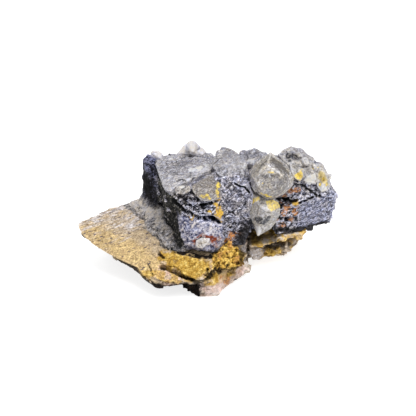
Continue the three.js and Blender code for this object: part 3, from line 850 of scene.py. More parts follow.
def paint_rock():
    paint = Paint("ochre_rock")
    tint = paint.tint
    worm = paint.noise(1.0, 2, 0.7, 0.9)
    grit = paint.noise(0.62, 2, 0.7)
    drift = paint.noise(3.2, 4, 0.65)
    net = paint.cells(1.2, "DISTANCE_TO_EDGE").above(0.14, 0.0)
    mottle = paint.noise(1.5, 4, 0.75)
    lay = paint.stretched((0.4, 1.1, 1), (0, 0, math.radians(-29)))
    streaks = paint.noise(1.1, 3, 0.75, 0.6, place=lay)
    long_streaks = paint.noise(2.4, 3, 0.7, 0.5, place=lay)
    tan = paint.shades(drift, (0.36, 164, 148, 130), (0.62, 200, 184, 166))
    yellow = paint.shades(mottle, (0.34, 178, 146, 94), (0.64, 224, 196, 140))
    ochre = paint.shades(mottle, (0.3, 122, 88, 32), (0.5, 190, 150, 66), (0.7, 238, 210, 126))
    orange = paint.shades(mottle, (0.34, 134, 82, 48), (0.66, 216, 158, 98))
    pale = paint.shades(streaks, (0.36, 172, 163, 160), (0.62, 224, 219, 221))
    pink = paint.shades(drift, (0.36, 190, 152, 134), (0.62, 226, 206, 198))
    stain = paint.shades(worm, (0.34, 40, 40, 46), (0.5, 96, 95, 98), (0.66, 168, 164, 162))
    # The colours painted where shade falls, near black with a little dark brown.
    gloom = paint.shades(drift, (0.4, 42, 33, 18), (0.62, 60, 36, 27))
    shade = paint.mix(worm.above(0.42, 0.8), rgb(10, 8, 7), gloom)
    top = tint("top")
    base = paint.layered(
        tan,
        (tint("yellow") * (0.4 + 1.2 * mottle), yellow),
        (tint("pale") * long_streaks.above(0.34, 0.6), pale),
        (tint("pink") * 0.85, pink),
        (net * (0.6 * drift) * top, rgb(158, 122, 84)),
        (tint("ochre"), ochre),
        (tint("orange") * (0.3 + 1.2 * mottle), orange),
    )
    lie = paint.stretched((1, 2.2, 2.2), (0, 0, math.radians(-22)))
    wanted = paint.noise(5, 3, 0.6).above(0.4, 0.62)
    speck = paint.cells(2.8, place=lie).above(0.3, 0.2) * wanted
    speck = (speck + paint.cells(1.7, place=lie).above(0.2, 0.1) * 0.25).clipped() * top
    rough = 1 - tint("smooth") * 0.65
    grainy = (worm - 0.5) * (1.7 - top * 0.7) + (grit - 0.5) * 1.8 + (streaks - 0.5) * top * 1.4
    shading = (tint("tone") + grainy * rough).clipped()
    deep, even, bright = (0.28, 0.25, 0.21), (0.765, 0.775, 0.785), (1.26, 1.29, 1.32)
    light = paint.ramp(shading, (0.1, deep), (0.5, even), (0.9, bright))
    base = paint.layered(
        paint.mix(1.0, base, light, "MULTIPLY"),
        (speck * 0.95 * (1 - tint("ochre")), rgb(76, 72, 88)),
        (tint("stain") * 0.9, stain),
        (tint("dark"), shade),
    )
    height = worm + grit * 0.8 - speck * 0.5 - net * 0.3
    return paint.finish(
        Base_Color=base,
        Roughness=0.9,
        Specular_IOR_Level=0.15,
        Normal=paint.bump(height, 0.8, 0.35 * MM),
    )


# ---- Galena ore ----------------------------------------------------------------------------

# Cracks: width, depth, the way they are seen and path.
CRACKS = [
    (1.0, 3.2, (0, -0.9, 0.45), [
        (-12.8, -13.4, 34.6), (-11.9, -14.2, 33.7), (-10.4, -15.6, 33.1), (-7.8, -17.3, 31.5),
        (-5.5, -17.9, 30.6), (-3.7, -18.5, 29.7), (-1.1, -18.3, 29.6), (1.5, -18.0, 29.5),
        (3.4, -16.6, 27.6), (4.3, -15.1, 25.9),
    ]),
    (0.6, 1.5, (0, -0.9, 0.45), [(-3.0, -15.9, 33.8), (-1.5, -15.7, 34.0), (1.5, -15.4, 34.4)]),
    (0.5, 1.3, (0, -0.85, 0.5), [
        (10.0, -11.8, 40.6), (11.5, -11.9, 39.7), (13.8, -11.6, 38.9), (15.3, -12.2, 37.0),
    ]),
    (0.6, 1.2, (0.1, -0.9, 0.45), [
        (35.8, -5.2, 36.6), (37.0, -5.4, 35.4), (38.5, -5.3, 34.5), (41.0, -4.3, 31.8),
    ]),
    (0.9, 1.4, (0.1, -0.9, 0.45), [
        (26.4, -7.4, 31.6), (28.6, -6.9, 32.0), (31.7, -8.0, 31.0), (33.4, -8.0, 31.6),
    ]),
    (0.6, 1.0, (0.1, -0.9, 0.45), [(34.4, -7.6, 30.0), (37.5, -6.6, 31.0), (39.8, -5.6, 31.8)]),
]

# Coloured patches, holes and shadowed hollows in the ore: x, y, z and radius.
OCHRE_SPOTS = [
    (4.1, -16.7, 32.4, 1.2), (4.6, -16.3, 30.6, 1.5), (4.1, -16.7, 29.0, 1.4),
    (3.2, -16.8, 34.4, 1.0), (5.0, -15.9, 26.4, 0.7), (3.8, -15.6, 36.0, 0.9),
    (0.6, -17.2, 31.4, 0.7), (-6.1, -17.8, 29.2, 0.9), (33.2, -8.0, 30.4, 1.3),
    (30.4, -8.6, 25.6, 0.6),
]
RUST_SPOTS = [
    (8.3, -14.8, 20.4, 1.0), (9.8, -14.4, 19.3, 1.2), (12.2, -13.9, 20.1, 0.8),
    (8.0, -14.9, 18.2, 1.3), (10.6, -14.2, 20.8, 0.8), (33.1, -6.8, 35.3, 1.3),
    (30.8, -6.8, 34.5, 1.3), (28.6, -6.7, 33.0, 1.1), (33.4, -8.1, 28.2, 1.2),
    (33.0, -8.0, 26.4, 1.2), (29.4, -9.1, 28.8, 1.4), (28.6, -9.8, 26.9, 1.2),
    (27.2, -7.6, 30.4, 0.9), (31.6, -8.0, 23.6, 0.9), (27.4, -9.4, 21.4, 1.2),
    (29.4, -8.6, 20.8, 0.7), (25.8, -9.8, 24.0, 0.8), (6.5, -15.6, 18.0, 0.9),
    (0.8, -17.4, 35.6, 0.6), (-1.4, -16.8, 35.2, 0.6),
]
RED_SPOTS = [
    (0.8, -18.9, 20.8, 1.5), (1.8, -18.6, 19.6, 1.2), (2.4, -18.4, 20.8, 0.8),
    (-0.8, -19.0, 22.2, 0.7), (-3.8, -18.8, 21.8, 0.7), (-5.0, -18.8, 20.2, 0.7),
    (-2.4, -18.9, 22.4, 0.6),
]
BROWN_SPOTS = [
    (-2.0, -18.8, 22.4, 1.1), (3.2, -18.2, 20.0, 1.4), (2.8, -18.4, 18.2, 1.2),
    (-5.0, -18.9, 18.6, 0.9),
]
HOLES = [
    (29.0, -7.4, 31.4, 1.0), (27.6, -8.6, 29.4, 1.0), (30.2, -8.3, 30.4, 0.8),
    (36.8, -5.6, 35.0, 0.7), (40.6, -4.6, 34.0, 0.7), (27.0, -8.9, 25.0, 0.9),
    (29.6, -8.6, 23.4, 0.8), (-10.6, -15.4, 34.4, 0.8), (-9.6, -16.9, 23.0, 0.6),
    (3.1, -18.0, 25.9, 0.6), (10.0, -14.5, 25.0, 0.7), (8.4, -14.8, 23.6, 0.7),
]
CAVITY_SPOTS = [(15.5, -13, 20, 4.0), (14, -12, 17, 3.5), (17, -12, 24, 2.4)]
CAVITY_MOUTH = [(13.6, -13.8, 20.4, 3.2), (14.2, -12.8, 17.0, 3.6)]
# Where shade is painted black on the pillar's middle: x, y, z and radius.
PILLAR_SHADE_SPOTS = [(-23.9, 11.0, 28.3, 4.4), (-22.6, 9.4, 25.0, 3.4)]

# The shadowed lip where the right block meets the ledge.
LIP = [
    (25.6, -9.4, 19.4), (29.3, -8.2, 18.8), (33.4, -6.6, 17.9), (37.3, -5.2, 17.8),
    (41.2, -3.6, 18.0), (45.6, -1.8, 18.3),
]

# Where the ore is lighter or darker than around it, partly its own tone and partly painted:
# shade at the foot of the blocks and the pillar, on the pillar's middle and beside the cavity,
# and a highlight on the pillar's top: x, y, z, radius and change.
TONE_SPOTS = [
    (-0.6, -18.8, 24.6, 2.4, 0.06), (2.4, -18.0, 23.4, 2.0, 0.05), (-6.0, -17.8, 26.4, 1.8, 0.08),
    (16.0, -11.6, 37.8, 2.4, -0.14), (-23.4, 14.0, 38.4, 2.4, 0.32), (-23.7, 12.5, 35.0, 1.6, 0.15),
    (-23.9, 11.0, 28.3, 4.2, -0.4), (-20.6, 8.2, 32.0, 2.0, 0.25), (-20.4, 7.8, 26.0, 2.4, 0.15),
    (-22.7, 7.6, 21.6, 2.4, -0.3), (-19.9, 5.7, 22.3, 2.8, -0.35), (-24.6, 5.6, 20.4, 3.0, 0.16),
    (-21.6, 2.2, 20.0, 3.2, 0.18), (-24.4, 0.6, 19.0, 2.2, 0.1), (-19.0, -3.6, 19.2, 2.6, 0.1),
    (-15.4, -1.0, 20.8, 3.2, -0.35), (-13.6, -7.0, 18.8, 3.0, -0.3),
    (-13.0, -12.0, 17.0, 2.6, -0.3), (-12.6, -16.0, 15.4, 2.6, -0.3),
    (-14.5, -17.4, 14.8, 2.6, -0.35), (-11.0, -18.4, 14.8, 2.6, -0.35),
    (-8.0, -18.8, 15.2, 2.2, -0.3), (-0.6, -18.8, 25.4, 2.6, 0.12), (2.4, -18.2, 23.0, 2.0, 0.12),
    (37.6, -5.4, 35.0, 2.0, 0.14), (12.4, -13.6, 22.0, 3.4, -0.16), (14.6, -12.8, 25.0, 2.6, -0.16),
    (6.0, -15.0, 22.0, 2.6, 0.08), (38.6, -5.4, 33.4, 2.4, 0.1), (-12.4, -13.8, 31.0, 2.2, 0.12),
    (2.0, -18.4, 18.8, 1.4, 0.2), (1.6, -18.6, 24.0, 2.2, 0.1), (-5.4, -18.6, 24.4, 2.0, 0.06),
]

# Ore that fills the notch between the left and centre blocks, and rounds the right end.
NOTCH_FILL = [
    (0.0, -17.0, 34.5), (2.2, -17.4, 31.2), (4.8, -15.9, 30.0), (7.0, -14.6, 31.0),
    (7.0, -14.4, 37.5), (5.6, -13.0, 40.0), (3.0, -14.8, 36.5), (5.0, -15.6, 26.5),
    (3.4, -17.2, 28.0), (7.2, -14.8, 24.0), (3.0, -10.0, 30.0), (6.0, -8.0, 38.0),
    (4.6, -17.0, 22.0), (7.5, -14.9, 18.5),
]
TOP_FILL = [
    (0.6, -6.0, 41.4), (3.0, -6.4, 43.4), (4.8, -10.4, 41.8), (2.4, -11.6, 41.4), (6.0, -8.0, 40.0),
    (0.6, -9.0, 39.0), (3.0, -4.0, 41.0),
]
END_FILL = [
    (45.8, -1.6, 33.2), (46.8, 1.0, 34.4), (47.8, 1.6, 31.0), (49.6, 2.0, 28.4), (46.0, -2.6, 30.0),
    (43.0, -4.4, 32.0), (46.0, 10.0, 33.0), (42.0, 2.0, 33.0), (44.0, 0.0, 28.0),
]

# The foot's thin tip, where it laps over the back of the bed.
FOOT_TIP = [
    (-32.0, 12.5, 18.6), (-30.6, 12.8, 20.3), (-27.6, 12.8, 21.2), (-26.0, 12.8, 21.9),
    (-24.0, 12.0, 20.6), (-28.0, 8.4, 19.4), (-25.0, 9.0, 19.6), (-28.0, 16.0, 19.0),
    (-24.0, 16.0, 19.0), (-27.0, 12.0, 18.0),
]

# Corners worn blunt: x, y, z and radius.
BLUNT_CORNERS = [(50.4, 2.8, 24.6, 1.5), (47.0, 14.0, 30.5, 3.0)]

# How the cleavage cubes of the left and right blocks are turned.
LEFT_TURN = turned(math.radians(-9), math.radians(-12), math.radians(4))
RIGHT_TURN = turned(math.radians(21), math.radians(9), math.radians(-5))

BLOCK_COUNT = 620
BACK_CUBE_COUNT = 90
ORE_SKIN = 0.42


class OreGround:
    """The parts of the ore's surface, each as a number from 0 to 1 for each point."""

    def __init__(self, points, normals):
        x, y, z = points.T
        nx, ny, nz = normals.T
        height = -bed_depth(points)
        facing = ease(-ny, 0.2, 0.6)
        self.foot = most(ease(nz, 0.4, 0.7) * ease(height, 6, 4.5), ease(height, 3.2, 2.4))
        self.foot = self.foot * ease(x, -6, -9)
        self.pillar = ease(x, -19.2, -20.6) * ease(height, 3.0, 4.6)
        self.pillar = self.pillar * ease(-ny - 0.8 * nx, -0.2, 0.3)
        slant = np.clip(28.5 - z, 0, 12) * 0.42
        self.crust = within(x - slant, -12.6, 5.2, 0.8) * ease(x, 6, 5) * ease(z, 30.2, 28.8)
        self.crust = self.crust * ease(-ny, 0.02, 0.3) * ease(y, -11, -14)
        self.flank = within(x, -19.5, -9.5, 1.2) * ease(-nx, 0.3, 0.65)
        self.flank = self.flank * (1 - self.pillar) * (1 - self.crust)
        self.blocky = within(x, -15, 3.8) * within(z, 30.4, 38.5, 1.5) * facing * (1 - self.flank)
        self.rippled = within(x, 5, 17, 1.0) * ease(y, -9, -12) * facing
        self.bluish = ease(x, 33.0, 35.5) * within(z, 16.5, 31.0, 1.0) * facing
        self.pitted = within(x, 24.5, 41, 1.2) * facing * ease(y, -2, -4) * (1 - self.bluish)
        self.back = ease(y, 8, 14)
        self.right = ease(x, 20, 26)


def snapped(points, normals, lattice, step, seed):
    """The moves that bring a surface onto cleavage steps of a cubic lattice."""
    across = points @ lattice
    facing = np.abs(normals @ lattice)
    axis = facing.argmax(1)
    _, number = grains(points, 3.2, seed)
    along = across[np.arange(len(points)), axis] / step + 7 * number
    return lattice.T[axis] * ((np.floor(along) + 0.5 - along) * step)[:, None]


def block_share(points, normals):
    ground = OreGround(points, normals)
    share = 0.25 + 1.5 * ground.blocky + 0.9 * ground.pitted + 0.35 * ground.back
    share = share * ease(points[:, 0], -20, -17)
    share = share * (1 - within(points[:, 0], 42, 60) * ease(points[:, 2], 24, 27))
    share = share * (1 - 0.96 * ground.foot) * (1 - 0.9 * ground.crust)
    share = share * (1 - 0.9 * ground.bluish) * (1 - 0.9 * ground.rippled)
    return share * (1 - 0.7 * ground.flank)


def back_share(points, normals):
    x, y, z = points.T
    away = ease(normals[:, 1], 0.3, 0.7) * ease(y, 12, 15)
    return away * within(x, -14, 38, 2) * ease(bed_depth(points), -3, -5) * ease(z, 40, 38)


def ore_shapes(piece):
    """Everything that stands out of the ore, as closed shapes to join to it."""
    shapes = [hull_shape(fill) for fill in (NOTCH_FILL, TOP_FILL, END_FILL, FOOT_TIP)]
    rng = np.random.default_rng(23)
    for place in surface_samples(piece.data, BLOCK_COUNT, rng, block_share):
        size = 0.7 + 2.4 * rng.random(3) ** 2.2
        lattice = LEFT_TURN if place[0] < 20 else RIGHT_TURN
        corners = (BOX_CORNERS * size) @ (lattice @ turned(*rng.normal(0, 0.07, 3))).T
        shapes.append((place + corners, BOX_FACES))
    # Larger cubes step out of the broken back.
    rng = np.random.default_rng(29)
    for place in surface_samples(piece.data, BACK_CUBE_COUNT, rng, back_share):
        size = 1.6 + 4.2 * rng.random(3) ** 1.5
        corners = (BOX_CORNERS * size) @ (RIGHT_TURN @ turned(*rng.normal(0, 0.1, 3))).T
        shapes.append((place + corners, BOX_FACES))
    return shapes


def make_ore():
    piece = copy_of_node("galena", "ore")
    join_shapes(piece, ore_shapes(piece))
    mesh = remeshed(piece, ORE_SKIN)
    points = read_points(mesh)
    normals = read_normals(mesh)
    x, y, z = points.T
    ground = OreGround(points, normals)
    calm = np.clip(ground.foot + ground.crust + ground.bluish + ground.rippled, 0, 1)
    stepped = (1 - calm) * (0.35 + 0.4 * ground.blocky + 0.3 * ground.pitted)
    move = np.zeros_like(points)
    for lattice, here in ((LEFT_TURN, 1 - ground.right), (RIGHT_TURN, ground.right)):
        coarse = snapped(points, normals, lattice, 1.5, 51)
        fine = snapped(points, normals, lattice, 0.7, 57)
        move += (coarse * 0.6 + fine * 0.4) * (here * stepped)[:, None]

    push = 0.3 * rubble(points, 3.5, 4, 3) * (1 - 0.6 * calm)
    push += 0.45 * rubble(points, 1.3, 3, 4) * np.clip(ground.blocky + ground.pitted, 0, 1)
    seam, _ = grains(points, 1.3, 61)
    push += ground.crust * (0.12 * ease(seam, 0, 0.4) - 0.1 + 0.3 * rubble(points, 1.9, 4, 63, 0.65))
    wave = 0.62 * x + 0.78 * z + 1.5 * rubble(points, 3.4, 3, 65, 0.6)
    wrinkle = np.sin(wave * math.tau / 1.5)
    strong = within(z, 20, 30, 3) * within(x, 8, 17, 2)
    strong = strong * ease(rubble(points, 3, 2, 66), -0.5, 0.3)
    push += ground.rippled * (wrinkle * 0.26 * strong + 0.22 * rubble(points, 1.4, 3, 68))
    line = points @ [0.35, 0.1, -0.93] + 0.35 * rubble(points, 4, 3, 67)
    groove = np.sin(line * math.tau / 0.95) + 0.6 * np.sin(line * math.tau / 2.1)
    push += ground.bluish * 0.13 * groove
    push += ground.flank * 0.4 * rubble(points, 1.6, 3, 77, 0.7)
    wall = ground.foot * ease(normals[:, 2], 0.7, 0.3) * ease(y, 12, 9)
    push += 0.5 * wall + 0.45 * ground.pillar * rubble(points, 3.4, 3, 74)
    push += 0.5 * ease(x, 43, 46) * rubble(points, 1.9, 3, 76)
    push += ground.foot * (0.1 + 0.25 * rubble(points, 3.4, 3, 69) + 0.12 * rubble(points, 1.2, 2, 71))
    ragged = 0.22 * rubble(points, 1.2, 2, 73)
    for width, deep, way, path in CRACKS:
        push -= deep * ease(line_distance(points, path, way) + ragged, width * 0.75, width * 0.3)
    for *middle, radius in BLUNT_CORNERS:
        push -= 1.6 * ease(distance(points, *middle), radius * 1.6, radius * 0.6)
    ragged = 0.35 * rubble(points, 1.1, 2, 75)
    for *middle, radius in HOLES:
        push -= 1.5 * ease(distance(points, *middle) + ragged, radius * 1.2, radius * 0.5)
    sockets = socket_wall(points)
    push = push * (1 - 0.8 * sockets)
    points = points + move * (1 - sockets)[:, None] + normals * push[:, None]
    points[:, 2] -= 0.6 * wall
    x, y, z = points.T
    low = ease(-bed_depth(points), 4.2, 3.0) * ease(x, -10, -12) * ease(y, 13, 11)
    points[:, 2] -= 2.6 * low * ease(past_foot(points), -0.2, 0.7)
    write_points(mesh, points)

    fine = hollows(mesh, 4)
    broad = hollows(mesh, 28)
    ragged = 0.15 * rubble(points, 1.0, 2, 87)
    reach = [(width, line_distance(points, path, way)) for width, _, way, path in CRACKS]
    crack = most(*(ease(gap + ragged, width * 0.8, width * 0.45) for width, gap in reach))
    # Painted shade, near black: in the cracks and holes, along the lip and the low edge of the right
    # block, where the ore meets the bed, in the cavity and on the pillar's middle.
    gloom = most(
        *(ease(gap, width * 0.8, width * 0.35) for width, gap in reach),
        0.75 * patches(points, HOLES, 85, 0.6),
        ease(line_distance(points, LIP) + 0.4 * rubble(points, 2, 2, 79), 1.5, 0.8),
        ease(z, 18.6, 17.8) * ease(x, 23, 25),
        ease(bed_depth(points), -2.0, -1.0) * (1 - ground.foot) * ease(x, -12, -9),
        0.95 * patches(points, CAVITY_SPOTS, 86, 0.3),
        0.95 * patches(points, CAVITY_MOUTH, 78, 0.3, 0.6),
        0.9 * patches(points, PILLAR_SHADE_SPOTS, 70, 0.4, 0.8),
    )
    lilac = ground.crust * ease(x, -10, -4)
    # The tone: painted shade in hollows and cracks and on the flank, which faces away from the lamp,
    # and painted highlight on ridges; the rest is the ore's own tone.
    tone = 0.5 + 0.02 * lilac - 0.05 * ground.crust + 0.02 * ground.bluish - 0.03 * ground.rippled
    tone = tone - 0.08 * ground.blocky - 0.38 * ground.flank + 0.21 * ground.foot
    tone = tone - 1.6 * np.clip(fine, -0.16, 0.3) - 0.4 * np.clip(broad, -0.4, 0.9)
    tone = tone + ground.rippled * (strong * 0.26 * wrinkle + 0.04 * ease(z, 26, 34) + 0.01)
    tone = tone - 0.6 * crack
    brim = -past_foot(points) + 1.2 * rubble(points, 1.8, 4, 72, 0.7)
    tone = tone + ground.foot * (0.06 * ease(brim, 3.0, 5.0) - 0.26 * ease(brim, 3.8, 0.8))
    tone = tone + changes(points, TONE_SPOTS, 0.3 * rubble(points, 2.5, 2, 88), 0.3)
    broken = np.clip(ground.blocky + 0.8 * ground.pitted, 0, 1) * (1 - calm)
    plain = ground.crust + 1.3 * ground.foot * ease(-past_foot(points), 1.5, 4.0)
    plain = plain + 0.4 * ground.rippled + 0.3 * ground.flank + 0.8 * ground.back
    write_tints(
        mesh,
        tone=tone,
        crust=ground.crust,
        foot=ground.foot,
        olive=ground.flank,
        blue=ground.bluish,
        ink=ground.pillar,
        gloom=gloom,
        streak=ground.rippled * (0.5 + 0.5 * strong),
        plain=plain,
        ochre=patches(points, OCHRE_SPOTS, 81),
        rust=most(patches(points, RUST_SPOTS, 82, 0.8), 0.5 * patches(points, BROWN_SPOTS, 83, 0.6)),
        red=patches(points, RED_SPOTS, 84, 0.7),
        wild=0.3 + 0.7 * broken - 0.2 * ground.foot,
    )
    place_piece(piece, "galena", "galena_ore", paint_ore())


def socket_wall(points):
    """1 on the ore under the crystals, where the sockets keep their shape."""
    under = np.zeros(len(points))
    for node in CRYSTALS:
        low, high = box_in_drawing(node)
        inside = np.ones(len(points))
        for axis in range(3):
            inside *= within(points[:, axis], low[axis] + 0.8, high[axis] - 0.8, 1.0)
        under = np.maximum(under, inside)
    return under


def paint_ore():
    paint = Paint("galena_ore")
    tint = paint.tint
    slant = paint.stretched((1, 1, 2.2), (0, math.radians(28), 0))
    slope = paint.stretched((1, 1, 2.8), (0, math.radians(-42), 0))
    worm = paint.noise(0.95, 3, 0.85, 0.7)
    grain = paint.noise(0.75, 2, 0.8, 0.2, place=slant)
    chips = paint.grey_of(paint.cells(0.95, out="Color", place=slant))
    wild = tint("wild")
    light_lines = paint.lines(2.6, 0.03, 1.2, slope)
    dark_lines = paint.lines(2.4, 0.04, 1.2, slant)
    streak = paint.noise(1.3, 3, 0.7, 0.8, place=slope)
    streaked = tint("streak")
    mixed = (worm - 0.5) * 1.9 * (1 - streaked * 0.8) + (grain - 0.5) * 1.9
    mixed = mixed + (streak - 0.5) * streaked * 3.0 + light_lines * 0.12 - dark_lines * 0.26
    rest = paint.noise(3.0, 2, 0.5) * 1.3 + 0.35
    mixed = mixed * (0.95 + wild * 0.6) * rest * (1 - tint("plain") * 0.48)
    mixed = mixed + (chips - 0.5) * wild * 0.9
    value = (tint("tone") + mixed).clipped()
    mottle = paint.noise(0.9, 3, 0.75)
    grey = paint.shades(
        value,
        (0.05, 10, 10, 16),
        (0.3, 54, 54, 62),
        (0.5, 111, 110, 119),
        (0.72, 164, 163, 174),
        (0.95, 222, 222, 232),
    )
    crust = paint.shades(
        value, (0.1, 26, 30, 50), (0.3, 84, 88, 116), (0.5, 142, 142, 160), (0.9, 218, 216, 222)
    )
    foot = paint.shades(value, (0.1, 34, 34, 38), (0.5, 112, 109, 108), (0.9, 196, 190, 184))
    # The flank's colours, whose darkness is partly painted shade.
    olive = paint.shades(value, (0.15, 14, 16, 16), (0.45, 62, 62, 60), (0.85, 160, 156, 148))
    blue = paint.shades(value, (0.15, 40, 42, 54), (0.5, 120, 122, 140), (0.85, 198, 200, 218))
    ink = paint.shades(value, (0.25, 4, 4, 8), (0.6, 30, 32, 44), (0.95, 128, 130, 156))
    ochre = paint.shades(mottle, (0.34, 150, 104, 30), (0.62, 236, 196, 84))
    rust = paint.shades(mottle, (0.3, 104, 64, 40), (0.7, 218, 154, 96))
    red = paint.shades(mottle, (0.3, 84, 28, 16), (0.7, 150, 74, 46))
    # The near black painted where shade falls.
    black = paint.shades(value, (0.3, 3, 3, 5), (0.9, 58, 56, 60))
    base = paint.layered(
        grey,
        (tint("crust"), crust),
        (tint("foot"), foot),
        (tint("olive"), olive),
        (tint("blue") * (0.5 + 0.8 * worm), blue),
        (tint("rust") * mottle.above(0.4, 0.56), rust),
        (tint("red"), red),
        (tint("ochre") * mottle.above(0.28, 0.5), ochre),
        (tint("ink"), ink),
        (tint("gloom"), black),
    )
    warm, cool = (1.1, 1.03, 0.92), (0.93, 0.97, 1.12)
    cast = paint.ramp(paint.noise(2.0, 3, 0.75), (0.38, warm), (0.62, cool))
    dull = tint("ochre") + tint("rust") + tint("red") + tint("foot") * 0.6
    dull = (dull + tint("gloom") + tint("olive") * 0.6).clipped()
    height = worm + grain * 0.8 + chips * wild * 0.5 - dark_lines * 0.4
    return paint.finish(
        Base_Color=paint.mix(0.9, base, cast, "MULTIPLY"),
        Metallic=(1 - dull) * 0.45,
        Roughness=0.4 + dull * 0.4,
        Specular_IOR_Level=0.2,
        Normal=paint.bump(height, 0.8, 0.35 * MM),
    )


# ---- Clear crystals ------------------------------------------------------------------------

# Each crystal: its slot, how much light it lets through, its tone, how rough it grew, how
# strongly its edges are painted light and its creases dark, how strong its grain is, and its
# dark, middle and light colours.
Crystal = namedtuple("Crystal", "slot through tone rough rims grain colours")
SMOKY = ((88, 84, 82), (172, 168, 164), (240, 238, 236))
SILVER = ((84, 84, 90), (172, 170, 176), (240, 240, 246))
BROWNISH = ((84, 78, 72), (162, 154, 148), (240, 236, 232))
CREAM = ((170, 168, 168), (198, 196, 198), (216, 214, 218))
CRYSTALS = {
    "front_crystal": Crystal("grey_crystal", 0.26, 0.39, 0.05, 0.5, 0.8, SMOKY),
    "lower_crystal": Crystal("grey_crystal", 0.5, 0.52, 0.1, 3.0, 1.0, SMOKY),
    "centre_crystal": Crystal("grey_crystal", 0.55, 0.5, 0.16, 2.5, 0.8, SILVER),
    "left_top_crystal": Crystal("grey_crystal", 0.45, 0.57, 0.28, 1.5, 0.75, SILVER),
    "left_face_crystal": Crystal("grey_crystal", 0.55, 0.46, 0.12, 3.0, 1.0, BROWNISH),
    "right_top_crystals": Crystal("grey_crystal", 0.5, 0.64, 0.12, 3.0, 0.85, SMOKY),
    "back_centre_crystal": Crystal("grey_crystal", 0.55, 0.52, 0.14, 2.5, 0.8, SILVER),
    "back_left_crystal": Crystal("pale_crystal", 0.08, 0.48, 0.05, 1.0, 0.4, CREAM),
    "far_left_crystal": Crystal("pale_crystal", 0.08, 0.46, 0.05, 1.0, 0.4, CREAM),
    "small_edge_crystal": Crystal("pale_crystal", 0.5, 0.3, 0.2, 6.0, 1.0, BROWNISH),
    "small_lower_crystal": Crystal("pale_crystal", 0.45, 0.62, 0.2, 6.0, 0.5, BROWNISH),
}

# How many veils of old fractures each of these crystals holds.
VEILED = {"front_crystal": 12, "lower_crystal": 8, "centre_crystal": 6, "back_left_crystal": 5}
VEIL_SEED = 300
VEIL_SIDE = 9

# Yellow dust that clings to the crystals: x, y, z and radius, then lines by width and path.
DUST_SPOTS = [
    (20.2, -14.4, 41.9, 0.4), (21.8, -15.0, 37.4, 0.8), (17.1, -13.0, 34.3, 0.9),
    (18.4, -13.0, 34.8, 0.8), (16.6, -12.8, 33.2, 0.6), (3.7, -13.0, 40.5, 0.9),
    (3.5, -15.4, 38.4, 0.9), (-1.8, -18.0, 38.2, 0.6), (-0.6, -18.0, 38.8, 0.6),
    (0.6, -17.9, 37.2, 0.45), (35.0, -5.2, 42.9, 0.7), (43.9, -2.4, 38.0, 0.9),
    (44.8, -2.4, 35.8, 0.9), (42.2, -4.8, 36.6, 0.6), (41.4, -1.6, 41.9, 0.7),
    (36.8, -7.0, 40.6, 0.4),
]
DUST_LINES = [
    (0.3, [(22.6, -12.9, 45.8), (24.0, -13.0, 45.7)]),
    (0.5, [(19.6, -14.4, 37.8), (21.4, -14.9, 37.0), (23.0, -14.8, 36.6)]),
    (0.8, [(3.8, -12.2, 41.2), (3.4, -13.6, 40.0), (3.3, -14.7, 39.2), (3.7, -16.1, 37.4)]),
    (0.55, [(-2.6, -18.0, 37.9), (-0.6, -18.0, 38.9), (1.0, -17.8, 37.0)]),
    (0.5, [(37.6, -4.6, 42.4), (40.2, -3.4, 42.6), (41.6, -2.6, 41.4), (41.2, -4.4, 40.2)]),
    (0.45, [(42.8, -2.6, 39.6), (44.0, -2.8, 38.0), (44.8, -2.8, 35.6)]),
    (0.7, [(16.4, -12.8, 33.0), (17.4, -13.2, 34.4), (18.8, -13.4, 35.0)]),
]

# Milky and dark patches in the crystals: x, y, z and radius.
CLOUD_SPOTS = [
    (16.6, 0.4, 43.6, 1.4), (-9.6, -15.4, 41.4, 1.2), (-13.9, 9.2, 40.5, 1.1),
    (-6.0, -3.1, 41.9, 1.4), (-3.0, -1.8, 42.0, 1.6), (-0.8, 0.6, 42.0, 1.2),
    (18.7, -16.2, 22.0, 1.4), (39.1, -2.4, 42.3, 0.8),
]
SHADOW_SPOTS = [
    (29.6, 0.2, 46.0, 1.0), (31.0, 0.4, 46.4, 1.1), (32.4, -0.5, 45.8, 1.1),
    (30.8, -2.1, 45.4, 0.8), (-11.4, -12.8, 41.9, 0.5), (-10.4, -11.9, 42.0, 0.6),
    (-9.2, -12.0, 41.8, 0.6),
]

# Where a crystal is clearer or cloudier than the rest: x, y, z, radius and change of tone.
CRYSTAL_TONES = [
    (20.2, -14.8, 31.6, 2.2, 0.08), (20.6, -16.2, 24.6, 1.6, -0.1), (-10.0, 4.0, 41.0, 4.0, -0.12),
    (-4.0, -6.0, 42.0, 3.0, 0.06), (-12.4, -4.0, 41.5, 3.0, -0.1), (-7.6, -9.0, 42.0, 2.4, -0.08),
    (-2.0, 8.0, 41.6, 3.4, 0.04), (7.6, 0.0, 47.0, 2.4, -0.1), (10.0, -5.0, 44.0, 2.6, 0.04),
    (36.0, 2.0, 46.4, 3.0, 0.06),
]

